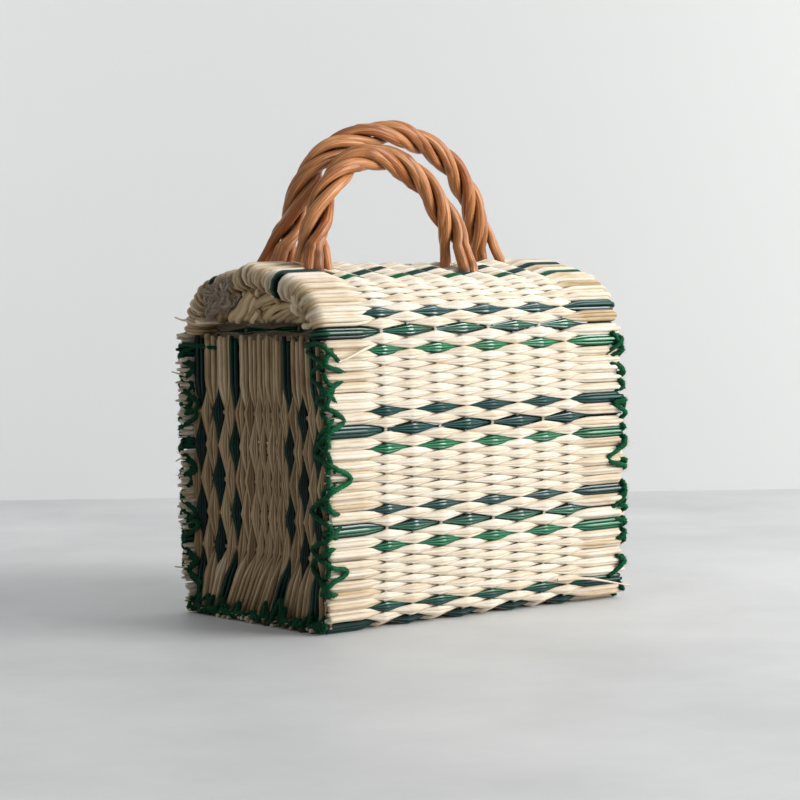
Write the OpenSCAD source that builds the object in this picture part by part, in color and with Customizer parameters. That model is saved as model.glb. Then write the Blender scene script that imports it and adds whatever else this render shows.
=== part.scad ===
// Woven rush box bag with a two-flap roof lid and twisted willow handles.
// Millimetres, +Z up, front towards -Y, origin on the ground under the middle.

/* [Bag] */
// Width of the woven mat across the front
mat_w = 234; // [200:1:280]
// Depth of the bag over the top of its front and back walls
bag_d = 146; // [124:1:180]
// Height of the fold where the lid flaps start
wall_h = 175.5; // [150:0.5:210]
// How far the front and back walls bulge at half height
wall_bulge = 3; // [1:0.5:6]
// Radius of the folds along the bottom edges, at the middle of the mat
fold_r = 9; // [7:0.5:14]

/* [Weave] */
// Distance between the warp threads
warp_spacing = 20.8; // [18:0.1:23]
// Number of warp threads across the front
front_warps = 8; // [6:1:8]
// Number of warp threads up an end panel
end_warps = 5; // [3:1:5]
// Distance between rush bundles of the long mat
row_pitch = 3.25; // [3:0.05:4]
// Distance between rush bundles of the end panels
column_pitch = 4.9; // [4.4:0.1:6]
// Height of a bundle's crest over the middle of the mat
crest = 3.2; // [2.4:0.1:3.6]
// Height of a pinched bundle over the middle of the mat
pinch = 0.9; // [0.5:0.1:1.5]
// Depth of the mat's inner face behind its middle
mat_back = 2.2; // [1.8:0.1:3]

/* [Ends] */
// How far the middle of an end panel dips inwards
end_dish = 6; // [2:0.5:9]
// Depth of an end panel's middle behind the cut ends of the long mat
end_inset = 4; // [3.8:0.1:8]
// Drop of an end panel's top below the fold of the lid
end_drop = 3; // [2.5:0.5:8]
// Space between an end panel and the mat it is sewn to
seat_gap = 0.3; // [0.2:0.05:0.5]

/* [Lid] */
// Radius of the flap's shoulder, at the middle of the mat
shoulder_r = 34; // [26:1:40]
// Rise of the lid towards the slit, in degrees
lid_slope = 12; // [6:1:16]
// Width of the slit between the two flaps
slit_w = 3; // [2:0.5:8]
// Space between a flap and the wall at the fold
hinge_gap = 0.6; // [0.4:0.1:1]

/* [Handles] */
// Half of the span of the back handle, at its feet
back_half_span = 90; // [76:1:100]
// Rise of the back handle's middle line over its feet
back_rise = 92; // [76:1:105]
// Half of the span of the front handle, at its feet
front_half_span = 59; // [48:0.5:70]
// Rise of the front handle's middle line over its feet
front_rise = 77; // [60:1:84]
// Distance of the front handle's middle to the left of the bag's middle
front_shift = 24.5; // [0:0.5:30]
// Distance of the handle feet from the slit's middle
foot_out = 17; // [15:0.5:22]
// Distance of the handle tops from the slit's middle
top_out = 9; // [8.5:0.5:12]
// Radius of one willow strand
strand_r = 3.3; // [2.4:0.1:3.5]
// Radius of the ring on which the strands wind
wind_r = 4.16; // [3.9:0.02:4.6]
// Radius of the ring on which the strand feet stand
foot_ring_r = 9; // [7:0.5:11]
// Length over which the strands splay out to their feet
splay_l = 34; // [24:1:40]
// Length of one turn of the twist
twist_pitch = 68; // [55:1:90]
// Depth of the strand feet below the middle of the flap
foot_depth = 6; // [4:0.5:10]

/* [Yarn] */
// Radius of the seam yarn
yarn_r = 1.6; // [1.2:0.1:2]
// Length of one zigzag of the seam
stitch_l = 44; // [34:1:54]
// Reach of a stitch on the front and back walls
stitch_reach = 13; // [9:0.5:16]
// Reach of a stitch on the end panel
end_reach = 15; // [10:0.5:18]
// Height of the fold above the first stitch
stitch_drop = 8; // [7:0.5:12]

/* [Hidden] */

// Handle paths, from the left foot to the right foot: share of the half span, share of the rise.
back_path_shares = [[-1, 0], [-0.93, 0.19], [-0.85, 0.385], [-0.78, 0.585], [-0.7, 0.74], [-0.565, 0.866],
                    [-0.363, 0.955], [-0.147, 1], [0.077, 1], [0.307, 0.93], [0.52, 0.81], [0.684, 0.634],
                    [0.79, 0.445], [0.91, 0.154], [0.965, 0]];
front_path_shares = [[-0.99, 0], [-0.97, 0.15], [-0.9, 0.43], [-0.78, 0.65], [-0.595, 0.835], [-0.356, 0.957],
                     [-0.078, 1], [0.229, 0.953], [0.525, 0.816], [0.754, 0.627], [0.902, 0.405], [0.98, 0.166],
                     [1, 0]];
strand_sides = 6;
yarn_sides = 6;
path_steps = 3;
small_turn = 0.001;
stitch_gap = seat_gap;

// Section of the long mat, in the plane of depth and height.
mid_d = bag_d / 2 - crest;
wall_lean = 2 * atan(2 * wall_bulge / (wall_h - crest - fold_r));
wall_chord = wall_h - crest - fold_r * (1 - sin(wall_lean));
wall_l = wall_chord * wall_lean * PI / 180 / sin(wall_lean);
wall_r = wall_l / (2 * wall_lean * PI / 180);
fold_l = fold_r * (90 - wall_lean) * PI / 180;
bottom_l = 2 * (mid_d - fold_r * cos(wall_lean));
body_runs = [[wall_l, 2 * wall_lean], [fold_l, 90 - wall_lean], [bottom_l, 0],
             [fold_l, 90 - wall_lean], [wall_l, 2 * wall_lean]];
body_start = [-mid_d, wall_h];
body_l = 2 * (wall_l + fold_l) + bottom_l;

shoulder_turn = 90 - wall_lean - lid_slope;
shoulder_l = shoulder_r * shoulder_turn * PI / 180;
shoulder_in = shoulder_r * (cos(wall_lean) - sin(lid_slope));
shoulder_rise = shoulder_r * (cos(lid_slope) - sin(wall_lean));
slope_l = (mid_d - slit_w / 2 - shoulder_in) / cos(lid_slope);
flap_runs = [[shoulder_l, shoulder_turn], [slope_l, 0]];
flap_l = shoulder_l + slope_l;
flap_rows = floor(flap_l / row_pitch);

// Plan of an end panel, in the plane of width and depth.
end_half = mid_d - mat_back - seat_gap;
end_turn = 2 * atan(end_dish / end_half);
end_l = 2 * end_half * end_turn * PI / 180 / sin(end_turn);
end_columns = floor(end_l / column_pitch);
end_top = wall_h - end_drop;
end_warp_mid = wall_h / 2 - end_drop;

// Point and heading at the distance s along a chain of runs, each a length and a turn.
function turned(p, h, l, t) =
    abs(t) < small_turn ? p + l * [cos(h), sin(h)]
    : let (r = l / (t * PI / 180)) p + r * [sin(h + t) - sin(h), cos(h) - cos(h + t)];
function walked(p, h, runs, s, i = 0) =
    let (l = runs[i][0], t = runs[i][1])
    s > l && i < len(runs) - 1 ? walked(turned(p, h, l, t), h + t, runs, s - l, i + 1)
    : [turned(p, h, s, t * s / l), h + t * s / l];
function lifted(at, lift) = at[0] + lift * [sin(at[1]), -cos(at[1])];

// Places of the warps and of the two cut ends of a bundle.
function places(low, high, n, mid) =
    concat([low], [for (j = [0 : n - 1]) mid + (j - (n - 1) / 2) * warp_spacing], [high]);
function is_over(k, j) = (k + j) % 2 == 0;
function bundle_lift(k, j, last, flat) =
    flat ? crest : j == 0 || j == last ? (crest + pinch) / 2 : is_over(k, j) ? crest : pinch;

// Stations along the long mat: distance, row number, and 1 where the mat lies flat on the ground.
wall_rows = floor((wall_l + fold_l) / row_pitch);
front_stations = [for (k = [0 : wall_rows - 1]) [(k + 0.5) * row_pitch, k, 0]];
bottom_stations = [[wall_l + fold_l, wall_rows, 1], [wall_l + fold_l + bottom_l, wall_rows + 1, 1]];
back_stations = [for (k = [wall_rows - 1 : -1 : 0]) [body_l - (k + 0.5) * row_pitch, wall_rows + k, 0]];
body_stations = concat([[hinge_gap / 2, 1, 0]], front_stations, bottom_stations, back_stations,
                       [[body_l - hinge_gap / 2, 1, 0]]);
flap_stations = concat([[hinge_gap / 2, 0, 0]],
                       [for (k = [0 : flap_rows - 1]) [(k + 0.5) * row_pitch, k + 1, 0]],
                       [[flap_l, flap_rows + 1, 0]]);

// Points of the long mat: section point, then the place across the width.
function long_mat_outer(start, heading, runs, stations) =
    let (across = places(-mat_w / 2, mat_w / 2, front_warps, 0), last = len(across) - 1)
    [for (s = stations) let (at = walked(start, heading, runs, s[0]))
        [for (j = [0 : last]) let (p = lifted(at, bundle_lift(s[1], j, last, s[2] == 1))) [across[j], p.x, p.y]]];
function long_mat_inner(start, heading, runs, stations) =
    [for (s = stations) let (p = lifted(walked(start, heading, runs, s[0]), -mat_back))
        [[-mat_w / 2, p.x, p.y], [mat_w / 2, p.x, p.y]]];

// How far the wall stands out at a height, and the height of the mat's inner face at a depth.
function wall_out(z) =
    let (d = z - (wall_h - wall_chord / 2)) max(0, sqrt(wall_r * wall_r - d * d) - wall_r * cos(wall_lean));
function floor_at(y) =
    let (over = abs(y) - (mid_d - fold_r * cos(wall_lean)), r = fold_r - mat_back)
    crest + (over > 0 ? fold_r - sqrt(max(0, r * r - over * over)) : mat_back);

// Points of the left end panel: plan point, then the place up the panel.
end_start = [end_inset - mat_w / 2, end_half];
end_stations = concat([[0, 1]], [for (k = [0 : end_columns - 1])
                       [(end_l - (end_columns - 1) * column_pitch) / 2 + k * column_pitch, k]], [[end_l, 1]]);
function end_point(at, lift, z) = let (p = lifted(at, lift)) [p.x, p.y * (1 + wall_out(z) / end_half), z];
function end_at(s) = walked(end_start, 270 + end_turn, [[end_l, -2 * end_turn]], s);
function end_outer() =
    [for (s = end_stations)
        let (at = end_at(s[0]), across = places(floor_at(at[0].y) + seat_gap, end_top, end_warps, end_warp_mid),
             last = len(across) - 1)
        [for (j = [0 : last]) end_point(at, bundle_lift(s[1], j, last, false), across[j])]];
function end_inner() =
    [for (s = end_stations) let (at = end_at(s[0]))
        [end_point(at, -mat_back, floor_at(at[0].y) + seat_gap), end_point(at, -mat_back, end_top)]];

// One closed mat from a grid of outer points, a two-column grid of inner points and the row numbers.
module woven_sheet(outer, inner, rows) {
    rings = len(outer);
    across = len(outer[0]);
    last = across - 1;
    function o(k, j) = k * across + j;
    function i(k, j) = rings * across + 2 * k + j;
    top = [for (k = [0 : rings - 2], j = [0 : last - 1]) each is_over(rows[k], j)
        ? [[o(k, j), o(k, j + 1), o(k + 1, j)], [o(k, j + 1), o(k + 1, j + 1), o(k + 1, j)]]
        : [[o(k, j), o(k, j + 1), o(k + 1, j + 1)], [o(k, j), o(k + 1, j + 1), o(k + 1, j)]]];
    under = [for (k = [0 : rings - 2]) each
        [[i(k, 0), i(k + 1, 0), i(k + 1, 1)], [i(k, 0), i(k + 1, 1), i(k, 1)]]];
    sides = [for (k = [0 : rings - 2]) each
        [[o(k, 0), o(k + 1, 0), i(k + 1, 0)], [o(k, 0), i(k + 1, 0), i(k, 0)],
         [o(k + 1, last), o(k, last), i(k, 1)], [o(k + 1, last), i(k, 1), i(k + 1, 1)]]];
    end = rings - 1;
    caps = [for (j = [0 : last - 1]) each
        [[i(0, 0), o(0, j + 1), o(0, j)], [i(end, 0), o(end, j), o(end, j + 1)]]];
    ties = [[i(0, 0), i(0, 1), o(0, last)], [i(end, 0), o(end, last), i(end, 1)]];
    polyhedron(points = concat([for (r = outer) each r], [for (r = inner) each r]),
               faces = concat(under, sides, caps, ties, top), convexity = rings);
}

// A round rod along a chain of points; the guide points to one side of the rod.
function unit(v) = v / norm(v);
function rod_ring(p, t, r, sides, guide) =
    let (a = unit(cross(guide, t)), b = cross(t, a))
    [for (j = [0 : sides - 1]) p + r * (cos(360 * j / sides) * a + sin(360 * j / sides) * b)];
module rod(path, r, sides, guide) {
    end = len(path) - 1;
    rings = [for (k = [0 : end]) rod_ring(path[k], unit(path[min(k + 1, end)] - path[max(k - 1, 0)]), r, sides, guide)];
    function v(k, j) = k * sides + j % sides;
    skin = [for (k = [0 : end - 1], j = [0 : sides - 1]) [v(k, j), v(k + 1, j), v(k + 1, j + 1), v(k, j + 1)]];
    caps = [[for (j = [0 : sides - 1]) v(0, j)], [for (j = [sides - 1 : -1 : 0]) v(end, j)]];
    polyhedron(points = [for (r = rings) each r], faces = concat(skin, caps), convexity = len(path));
}

// A smooth curve through the points of a table, with a few steps in each part.
function curve(q) = concat([for (i = [0 : len(q) - 2], k = [0 : path_steps - 1])
    let (t = k / path_steps, a = q[max(i - 1, 0)], b = q[i], c = q[i + 1], d = q[min(i + 2, len(q) - 1)])
    (2 * b + (c - a) * t + (2 * a - 5 * b + 4 * c - d) * t * t + (3 * b - a - 3 * c + d) * t * t * t) / 2],
    [q[len(q) - 1]]);
function run_length(p, k) = k == 0 ? 0 : norm(p[k] - p[k - 1]) + run_length(p, k - 1);
function eased(x) = let (c = min(1, max(0, x))) c * c * (3 - 2 * c);

// Middle line of a handle, from the left foot to the right foot.
slit_z = wall_h + shoulder_rise + slope_l * sin(lid_slope);
foot_z = slit_z - (foot_out - slit_w / 2) * tan(lid_slope) - foot_depth;
function handle_line(shares, half_span, rise, shift, side) =
    curve([for (s = shares) [s[0] * half_span + shift, side * (foot_out + (top_out - foot_out) * s[1]),
                             foot_z + s[1] * rise]]);

// One strand of a handle: it winds round the middle line and splays out to its foot at both ends.
function strand_path(line, turn) =
    let (end = len(line) - 1, l = run_length(line, end))
    [for (k = [0 : end])
        let (s = run_length(line, k), t = unit(line[min(k + 1, end)] - line[max(k - 1, 0)]),
             n = unit(cross([0, 1, 0], t)), b = cross(t, n),
             wound = min(max(s - splay_l / 2, 0), l - splay_l),
             spread = wind_r + (foot_ring_r - wind_r) * (eased(1 - s / splay_l) + eased(1 - (l - s) / splay_l)),
             a = turn + 360 * wound / twist_pitch)
        line[k] + spread * (cos(a) * n + sin(a) * b)];
module strand(line, turn) {
    rod(strand_path(line, turn), strand_r, strand_sides, [0, 1, 0]);
}

// Yarn along one end: two zigzags, from the wall round the corner on to the end panel and back.
stitches = floor((body_l - 2 * stitch_drop) / stitch_l);
stitch_step = (body_l - 2 * stitch_drop) / stitches;
outside = mat_w / 2 + yarn_r + stitch_gap;
function yarn_point(s, x, lift) =
    let (p = lifted(walked(body_start, 270 - wall_lean, body_runs, s), lift)) [x, p.x, max(p.y, yarn_r)];
function on_ground(s) = s > wall_l + fold_l / 3 && s < body_l - wall_l - fold_l / 3;
function wall_stitch(s) =
    yarn_point(s, on_ground(s) ? -outside : stitch_reach - mat_w / 2, crest + yarn_r + stitch_gap);
function end_stitch(s) = yarn_point(s, -outside, -end_reach);
function corner_stitch(s) = yarn_point(s, -outside, crest + yarn_r + stitch_gap);
function yarn_path(wall_first) = [for (k = [0 : 4 * stitches])
    let (s = stitch_drop + k * stitch_step / 4)
    k % 2 == 1 ? corner_stitch(s) : (k % 4 == 0) == wall_first ? wall_stitch(s) : end_stitch(s)];
module seam_yarn() {
    rod(yarn_path(true), yarn_r, yarn_sides, [1, 0, 0]);
    rod(yarn_path(false), yarn_r, yarn_sides, [1, 0, 0]);
}

module end_panel() {
    woven_sheet(end_outer(), end_inner(), [for (s = end_stations) s[1]]);
}
module flap() {
    woven_sheet(long_mat_outer([mid_d, wall_h], 90 + wall_lean, flap_runs, flap_stations),
                long_mat_inner([mid_d, wall_h], 90 + wall_lean, flap_runs, flap_stations),
                [for (s = flap_stations) s[1]]);
}
back_line = handle_line(back_path_shares, back_half_span, back_rise, 0, 1);
front_line = handle_line(front_path_shares, front_half_span, front_rise, -front_shift, -1);

module body_mat() {
    color("wheat")
        woven_sheet(long_mat_outer(body_start, 270 - wall_lean, body_runs, body_stations),
                    long_mat_inner(body_start, 270 - wall_lean, body_runs, body_stations),
                    [for (s = body_stations) s[1]]);
}
module left_end_panel() { color("burlywood") end_panel(); }
module right_end_panel() { color("burlywood") mirror([1, 0, 0]) end_panel(); }
module left_seam_yarn() { color("darkgreen") seam_yarn(); }
module right_seam_yarn() { color("darkgreen") mirror([1, 0, 0]) seam_yarn(); }
module front_flap() { color("wheat") mirror([0, 1, 0]) flap(); }
module back_flap() { color("wheat") flap(); }
module front_strand_1() { color("peru") strand(front_line, 0); }
module front_strand_2() { color("sienna") strand(front_line, 120); }
module front_strand_3() { color("peru") strand(front_line, 240); }
module back_strand_1() { color("peru") strand(back_line, 0); }
module back_strand_2() { color("sienna") strand(back_line, 120); }
module back_strand_3() { color("peru") strand(back_line, 240); }

body_mat();
left_end_panel();
right_end_panel();
left_seam_yarn();
right_seam_yarn();
front_flap();
back_flap();
front_strand_1();
front_strand_2();
front_strand_3();
back_strand_1();
back_strand_2();
back_strand_3();
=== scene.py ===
"""Woven rush box bag: rush mats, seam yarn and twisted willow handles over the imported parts."""

import math
from functools import cache
from types import SimpleNamespace

import bpy
from mathutils import Matrix, Vector


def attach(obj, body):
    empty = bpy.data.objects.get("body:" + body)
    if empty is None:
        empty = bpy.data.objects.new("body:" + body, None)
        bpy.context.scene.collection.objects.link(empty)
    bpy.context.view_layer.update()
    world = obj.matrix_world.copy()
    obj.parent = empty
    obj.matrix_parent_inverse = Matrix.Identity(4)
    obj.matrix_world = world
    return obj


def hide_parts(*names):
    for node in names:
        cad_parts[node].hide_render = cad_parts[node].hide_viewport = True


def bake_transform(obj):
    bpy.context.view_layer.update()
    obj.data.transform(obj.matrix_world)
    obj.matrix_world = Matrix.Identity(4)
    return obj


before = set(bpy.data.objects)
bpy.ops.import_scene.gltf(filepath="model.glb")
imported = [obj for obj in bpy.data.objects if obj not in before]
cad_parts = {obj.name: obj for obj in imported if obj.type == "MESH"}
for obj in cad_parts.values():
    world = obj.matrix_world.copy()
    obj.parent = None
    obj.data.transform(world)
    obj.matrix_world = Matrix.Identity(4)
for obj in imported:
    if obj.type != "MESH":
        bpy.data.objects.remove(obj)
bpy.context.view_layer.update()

bl_info = {
    "name": "Woven Rush Box Bag",
    "version": (1, 0, 0),
    "blender": (4, 5, 0),
    "location": "View3D > Sidebar > Box Bag",
    "description": "Rush mats, seam yarn and twisted willow handles over the bag's packed parts",
    "category": "Add Mesh",
}

MM = 0.001
TURN = 2.0 * math.pi
ACROSS, DEEP, UPRIGHT = (1.0, 0.0, 0.0), (0.0, 1.0, 0.0), (0.0, 0.0, 1.0)
DONE = {"FINISHED"}

# The dyed rows come back after so many rows, and the shift sets the first of them
STRIPE_REPEAT = 18
STRIPE_SHIFT = 4
END_STRIPE_SHIFT = -1
EVEN_START = 10 * STRIPE_REPEAT


# Sizes and colours that a user would change


def length(name, text, default):
    """A length property in metres."""
    return bpy.props.FloatProperty(
        name=name, description=text, default=default, min=0.0, precision=5, unit="LENGTH", subtype="DISTANCE"
    )


def number_of(name, text, default):
    """A property that counts things."""
    return bpy.props.IntProperty(name=name, description=text, default=default, min=1)


def colour(name, text, default):
    """A colour property."""
    return bpy.props.FloatVectorProperty(
        name=name, description=text, default=default, size=3, min=0.0, max=1.0, subtype="COLOR"
    )


class BagSizes(bpy.types.PropertyGroup):
    """Sizes of the bag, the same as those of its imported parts."""

    mat_width: length("Mat width", "Width of the long mat across the front", 0.234)
    bag_depth: length("Bag depth", "Depth over the top of the walls", 0.146)
    wall_height: length("Wall height", "Height of the fold where the flaps start", 0.1755)
    wall_bulge: length("Wall bulge", "How far the walls bulge at half height", 0.003)
    fold_radius: length("Fold radius", "Radius of the folds along the bottom", 0.009)
    crest: length("Crest", "Height of a bundle over the middle of the mat", 0.0032)
    shoulder_radius: length("Shoulder radius", "Radius of the flap's shoulder", 0.034)
    lid_slope: bpy.props.FloatProperty(
        name="Lid slope", description="Rise of the lid towards the slit", default=math.radians(12),
        subtype="ANGLE",
    )
    slit_width: length("Slit width", "Width of the slit between the flaps", 0.003)
    end_dish: length("End dish", "How far an end panel dips inwards", 0.006)
    end_inset: length("End inset", "Depth of an end panel behind the mat's cut ends", 0.004)
    end_top: length("End top", "Height of an end panel's top", 0.1750)
    end_low: length("End low", "Height of an end panel's lower edge", 0.0058)
    end_half: length("End half", "Half of an end panel's width", 0.0673)


class WeaveSizes(bpy.types.PropertyGroup):
    """Sizes of the rush weave."""

    row_pitch: length("Row pitch", "Distance between bundles of the long mat", 0.00325)
    column_pitch: length("Column pitch", "Distance between bundles of an end panel", 0.0049)
    warp_spacing: length("Warp spacing", "Distance between warp threads", 0.0208)
    front_warps: number_of("Front warps", "Warp threads across the front", 8)
    end_warps: number_of("End warps", "Warp threads up an end panel", 5)
    wave: length("Wave", "Rise and fall of a bundle over and under the warps", 0.0012)
    stems: number_of("Stems", "Rush stems in one bundle", 3)
    rings: number_of("Rings", "Points along one stem", 63)
    thread_radius: length("Thread radius", "Radius of a warp thread", 0.00055)


class SeamSizes(bpy.types.PropertyGroup):
    """Sizes of the yarn seams."""

    yarn_radius: length("Yarn radius", "Radius of the seam yarn", 0.0016)
    stitch_drop: length("Stitch drop", "Depth of the first stitch below the fold", 0.008)
    wall_reach: length("Wall reach", "Reach of a stitch on the walls", 0.0135)
    end_reach: length("End reach", "Reach of a stitch on the end panels", 0.0125)


class HandleSizes(bpy.types.PropertyGroup):
    """Sizes of the willow handles."""

    foot_out: length("Foot out", "Distance of the feet from the slit's middle", 0.017)
    top_out: length("Top out", "Distance of the tops from the slit's middle", 0.009)
    foot_depth: length("Foot depth", "Depth of the feet below the middle of the flap", 0.006)
    rod_radius: length("Rod radius", "Radius of one willow rod", 0.0032)
    wind_radius: length("Wind radius", "Radius of the ring on which the rods wind", 0.0049)
    foot_ring: length("Foot ring", "Radius of the ring on which the feet stand", 0.0122)
    splay_length: length("Splay length", "Length over which the rods splay out to their feet", 0.044)
    twist_pitch: length("Twist pitch", "Length of one turn of the twist", 0.080)


class BagColours(bpy.types.PropertyGroup):
    """Colours of the bag's materials."""

    pale_rush: colour("Pale rush", "Dry rush in the light", (0.90, 0.845, 0.745))
    # Tan and brown rush: older rush, and also painted shade on the end panels, the lid's borders and the
    # turned ends
    tan_rush: colour("Tan rush", "Darker streaks and ends of the rush", (0.62, 0.455, 0.265))
    brown_rush: colour("Brown rush", "Old rush of the end panels and the lid's borders", (0.20, 0.125, 0.060))
    dark_dye: colour("Dark dye", "Dark teal bundles", (0.004, 0.078, 0.074))
    bright_dye: colour("Bright dye", "Bright green bundles", (0.0005, 0.300, 0.095))
    # Painted shade for the creases between rush stems, plain and dyed
    crease: colour("Crease", "Shaded creases between old stems", (0.045, 0.028, 0.014))
    dye_crease_shade: colour("Dye crease", "Creases between dyed stems", (0.0004, 0.008, 0.0055))
    cotton: colour("Cotton", "Warp threads", (0.74, 0.69, 0.60))
    # Deep and light wool: the deep colour also paints shade in the folds between the plies, and on the yarn
    # over the ends
    yarn_deep: colour("Deep yarn", "Wool in the folds of the yarn", (0.001, 0.013, 0.006))
    yarn_light: colour("Light yarn", "Wool on top of the yarn", (0.0045, 0.175, 0.062))
    # The deep fibre colour also paints shade in the folds of the torn pith
    fibre_deep: colour("Deep fibre", "Torn pith in the folds of the lid's border", (0.15, 0.110, 0.080))
    fibre_light: colour("Light fibre", "Torn pith on top of the lid's border", (0.42, 0.34, 0.27))
    willow: colour("Willow", "Buff willow rods", (0.285, 0.072, 0.012))
    willow_light: colour("Light willow", "Pale streaks of the willow", (1.00, 0.53, 0.225))
    # The dark willow colour also paints the shade between the rods of a handle
    willow_dark: colour("Dark willow", "Knots and dark streaks of the willow", (0.075, 0.024, 0.009))


# A small kit that builds node trees from plain sums


class Field:
    """A value in a node tree that takes part in plain sums."""

    def __init__(self, kit, socket):
        self.kit = kit
        self.socket = socket

    def __add__(self, other):
        return self.kit.math("ADD", self, other)

    def __radd__(self, other):
        return self.kit.math("ADD", other, self)

    def __sub__(self, other):
        return self.kit.math("SUBTRACT", self, other)

    def __rsub__(self, other):
        return self.kit.math("SUBTRACT", other, self)

    def __mul__(self, other):
        return self.kit.math("MULTIPLY", self, other)

    def __rmul__(self, other):
        return self.kit.math("MULTIPLY", other, self)

    def __truediv__(self, other):
        return self.kit.math("DIVIDE", self, other)

    def __pow__(self, other):
        return self.kit.math("POWER", self, other)

    def __mod__(self, other):
        return self.kit.math("FLOORED_MODULO", self, other)

    def __neg__(self):
        return self.kit.math("MULTIPLY", self, -1.0)

    def __abs__(self):
        return self.kit.math("ABSOLUTE", self)


def shown(sockets, name=None):
    """The first shown socket, or the one with a name."""
    return next(s for s in sockets if s.enabled and name in (None, s.name))


def rgba(value):
    """A colour with alpha, or a field as it is."""
    return value if isinstance(value, Field) else (*value[:3], 1.0)


class Kit:
    """Adds nodes to one tree and links them."""

    def __init__(self, tree):
        self.tree = tree

    def plug(self, socket, value):
        """Feeds a socket from a field or with a plain value."""
        if isinstance(value, Field):
            self.tree.links.new(value.socket, socket)
        else:
            socket.default_value = value

    def node(self, kind, *places, **values):
        """A new node, with inputs by place or capitalised name and settings by small name."""
        made = self.tree.nodes.new(kind)
        named = {}
        for name, value in values.items():
            if name[0].isupper():
                named[name.replace("_", " ")] = value
            else:
                setattr(made, name, value)
        for place, value in enumerate(places):
            self.plug(made.inputs[place], value)
        for name, value in named.items():
            self.plug(shown(made.inputs, name), value)
        return made

    def out(self, node, name=None):
        """A field from a node's output."""
        return Field(self, shown(node.outputs, name))

    def call(self, kind, *places, **values):
        """A new node's first output."""
        return self.out(self.node(kind, *places, **values))

    def geo(self, kind, **values):
        """A geometry node's first output."""
        return self.call("GeometryNode" + kind, **values)

    def math(self, operation, *values):
        """A sum of one, two or three values."""
        return self.call("ShaderNodeMath", *values, operation=operation)

    def sine(self, angle):
        """The sine of an angle."""
        return self.math("SINE", angle)

    def cosine(self, angle):
        """The cosine of an angle."""
        return self.math("COSINE", angle)

    def vector(self, operation, *values, **named):
        """A vector sum."""
        return self.call("ShaderNodeVectorMath", *values, operation=operation, **named)

    def scaled(self, vector, factor):
        """A vector times a number."""
        return self.vector("SCALE", vector, Scale=factor)

    def moved(self, place, *ways):
        """A place moved by distances, each along its direction."""
        for direction, distance in ways:
            place = self.vector("ADD", place, self.scaled(direction, distance))
        return place

    def xyz(self, x, y, z):
        """A vector from three numbers."""
        return self.call("ShaderNodeCombineXYZ", x, y, z)

    def split(self, vector):
        """The three numbers of a vector."""
        return [Field(self, socket) for socket in self.node("ShaderNodeSeparateXYZ", vector).outputs]

    def least(self, a, b):
        """The smaller of two values."""
        return self.math("MINIMUM", a, b)

    def most(self, a, b):
        """The larger of two values."""
        return self.math("MAXIMUM", a, b)

    def clamped(self, value, low=0.0, high=1.0):
        """A value held between two others."""
        return self.least(self.most(value, low), high)

    def stretched(self, value, low, high):
        """A value's range from low to high, opened to 0 to 1."""
        return self.clamped((value - low) / (high - low))

    def eased(self, value):
        """A smooth step from 0 to 1."""
        held = self.clamped(value)
        return held * held * (3.0 - 2.0 * held)

    def above(self, a, b):
        """1 where a is greater than b."""
        return self.math("GREATER_THAN", a, b)

    def random(self, ident, seed, low=-1.0, high=1.0):
        """A steady random number for each ident."""
        return self.call("FunctionNodeRandomValue", Min=low, Max=high, ID=ident, Seed=seed)

    def texture(self, vector, scale, detail, roughness=0.5):
        """Soft noise between 0 and 1."""
        return self.call("ShaderNodeTexNoise", Vector=vector, Scale=scale, Detail=detail, Roughness=roughness)

    def noise(self, x, y, z, detail=1.0):
        """Soft noise between -1 and 1 at a place of three numbers."""
        return (self.texture(self.xyz(x, y, z), 1.0, detail) - 0.5) * 2.0

    def mixed(self, factor, a, b):
        """A colour between two colours."""
        made = self.node("ShaderNodeMix", data_type="RGBA", clamp_factor=True)
        sockets = {s.identifier: s for s in made.inputs}
        for name, value in (("Factor_Float", factor), ("A_Color", rgba(a)), ("B_Color", rgba(b))):
            self.plug(sockets[name], value)
        return Field(self, next(s for s in made.outputs if s.identifier == "Result_Color"))


SOCKETS = {
    float: "NodeSocketFloat",
    int: "NodeSocketInt",
    tuple: "NodeSocketVector",
    "geometry": "NodeSocketGeometry",
    "material": "NodeSocketMaterial",
}


def label(key):
    """A socket's name, from the name of its value."""
    return key.replace("_", " ").title()


def labelled(values):
    """Values by the names of their sockets."""
    return {label(key): value for key, value in values.items()}


def new_group(name, kind, outputs, **inputs):
    """A node group with named inputs and outputs: (kit, its inputs as fields)."""
    tree = bpy.data.node_groups.new(name, kind)
    for key, value in inputs.items():
        plain = not isinstance(value, str)
        form = SOCKETS[type(value) if plain else value]
        socket = tree.interface.new_socket(label(key), in_out="INPUT", socket_type=form)
        if plain:
            socket.default_value = value
    for key, form in outputs.items():
        tree.interface.new_socket(label(key), in_out="OUTPUT", socket_type=SOCKETS[form])
    kit = Kit(tree)
    entry = tree.nodes.new("NodeGroupInput")
    return kit, SimpleNamespace(**{key: Field(kit, socket) for key, socket in zip(inputs, entry.outputs)})


def close_group(kit, **results):
    """Links the group's outputs, and gives its tree."""
    made = kit.tree.nodes.new("NodeGroupOutput")
    for name, field in labelled(results).items():
        kit.plug(shown(made.inputs, name), field)
    return kit.tree


# Geometry node trees, each made once


def grower(name, **inputs):
    """A tree that grows a piece on chains of points: (kit, its inputs, with the chains also as curves)."""
    kit, given = new_group(
        name, "GeometryNodeTree", {"mesh": "geometry"}, chain="geometry", **inputs, material="material"
    )
    given.section = kit.geo("MeshToCurve", Mesh=given.chain)
    return kit, given


def marked(kit, geometry, domain, **marks):
    """Keeps values on the geometry for its material."""
    for name, value in marks.items():
        geometry = kit.geo("StoreNamedAttribute", Geometry=geometry, Name=name, Value=value, domain=domain)
    return geometry


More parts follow.
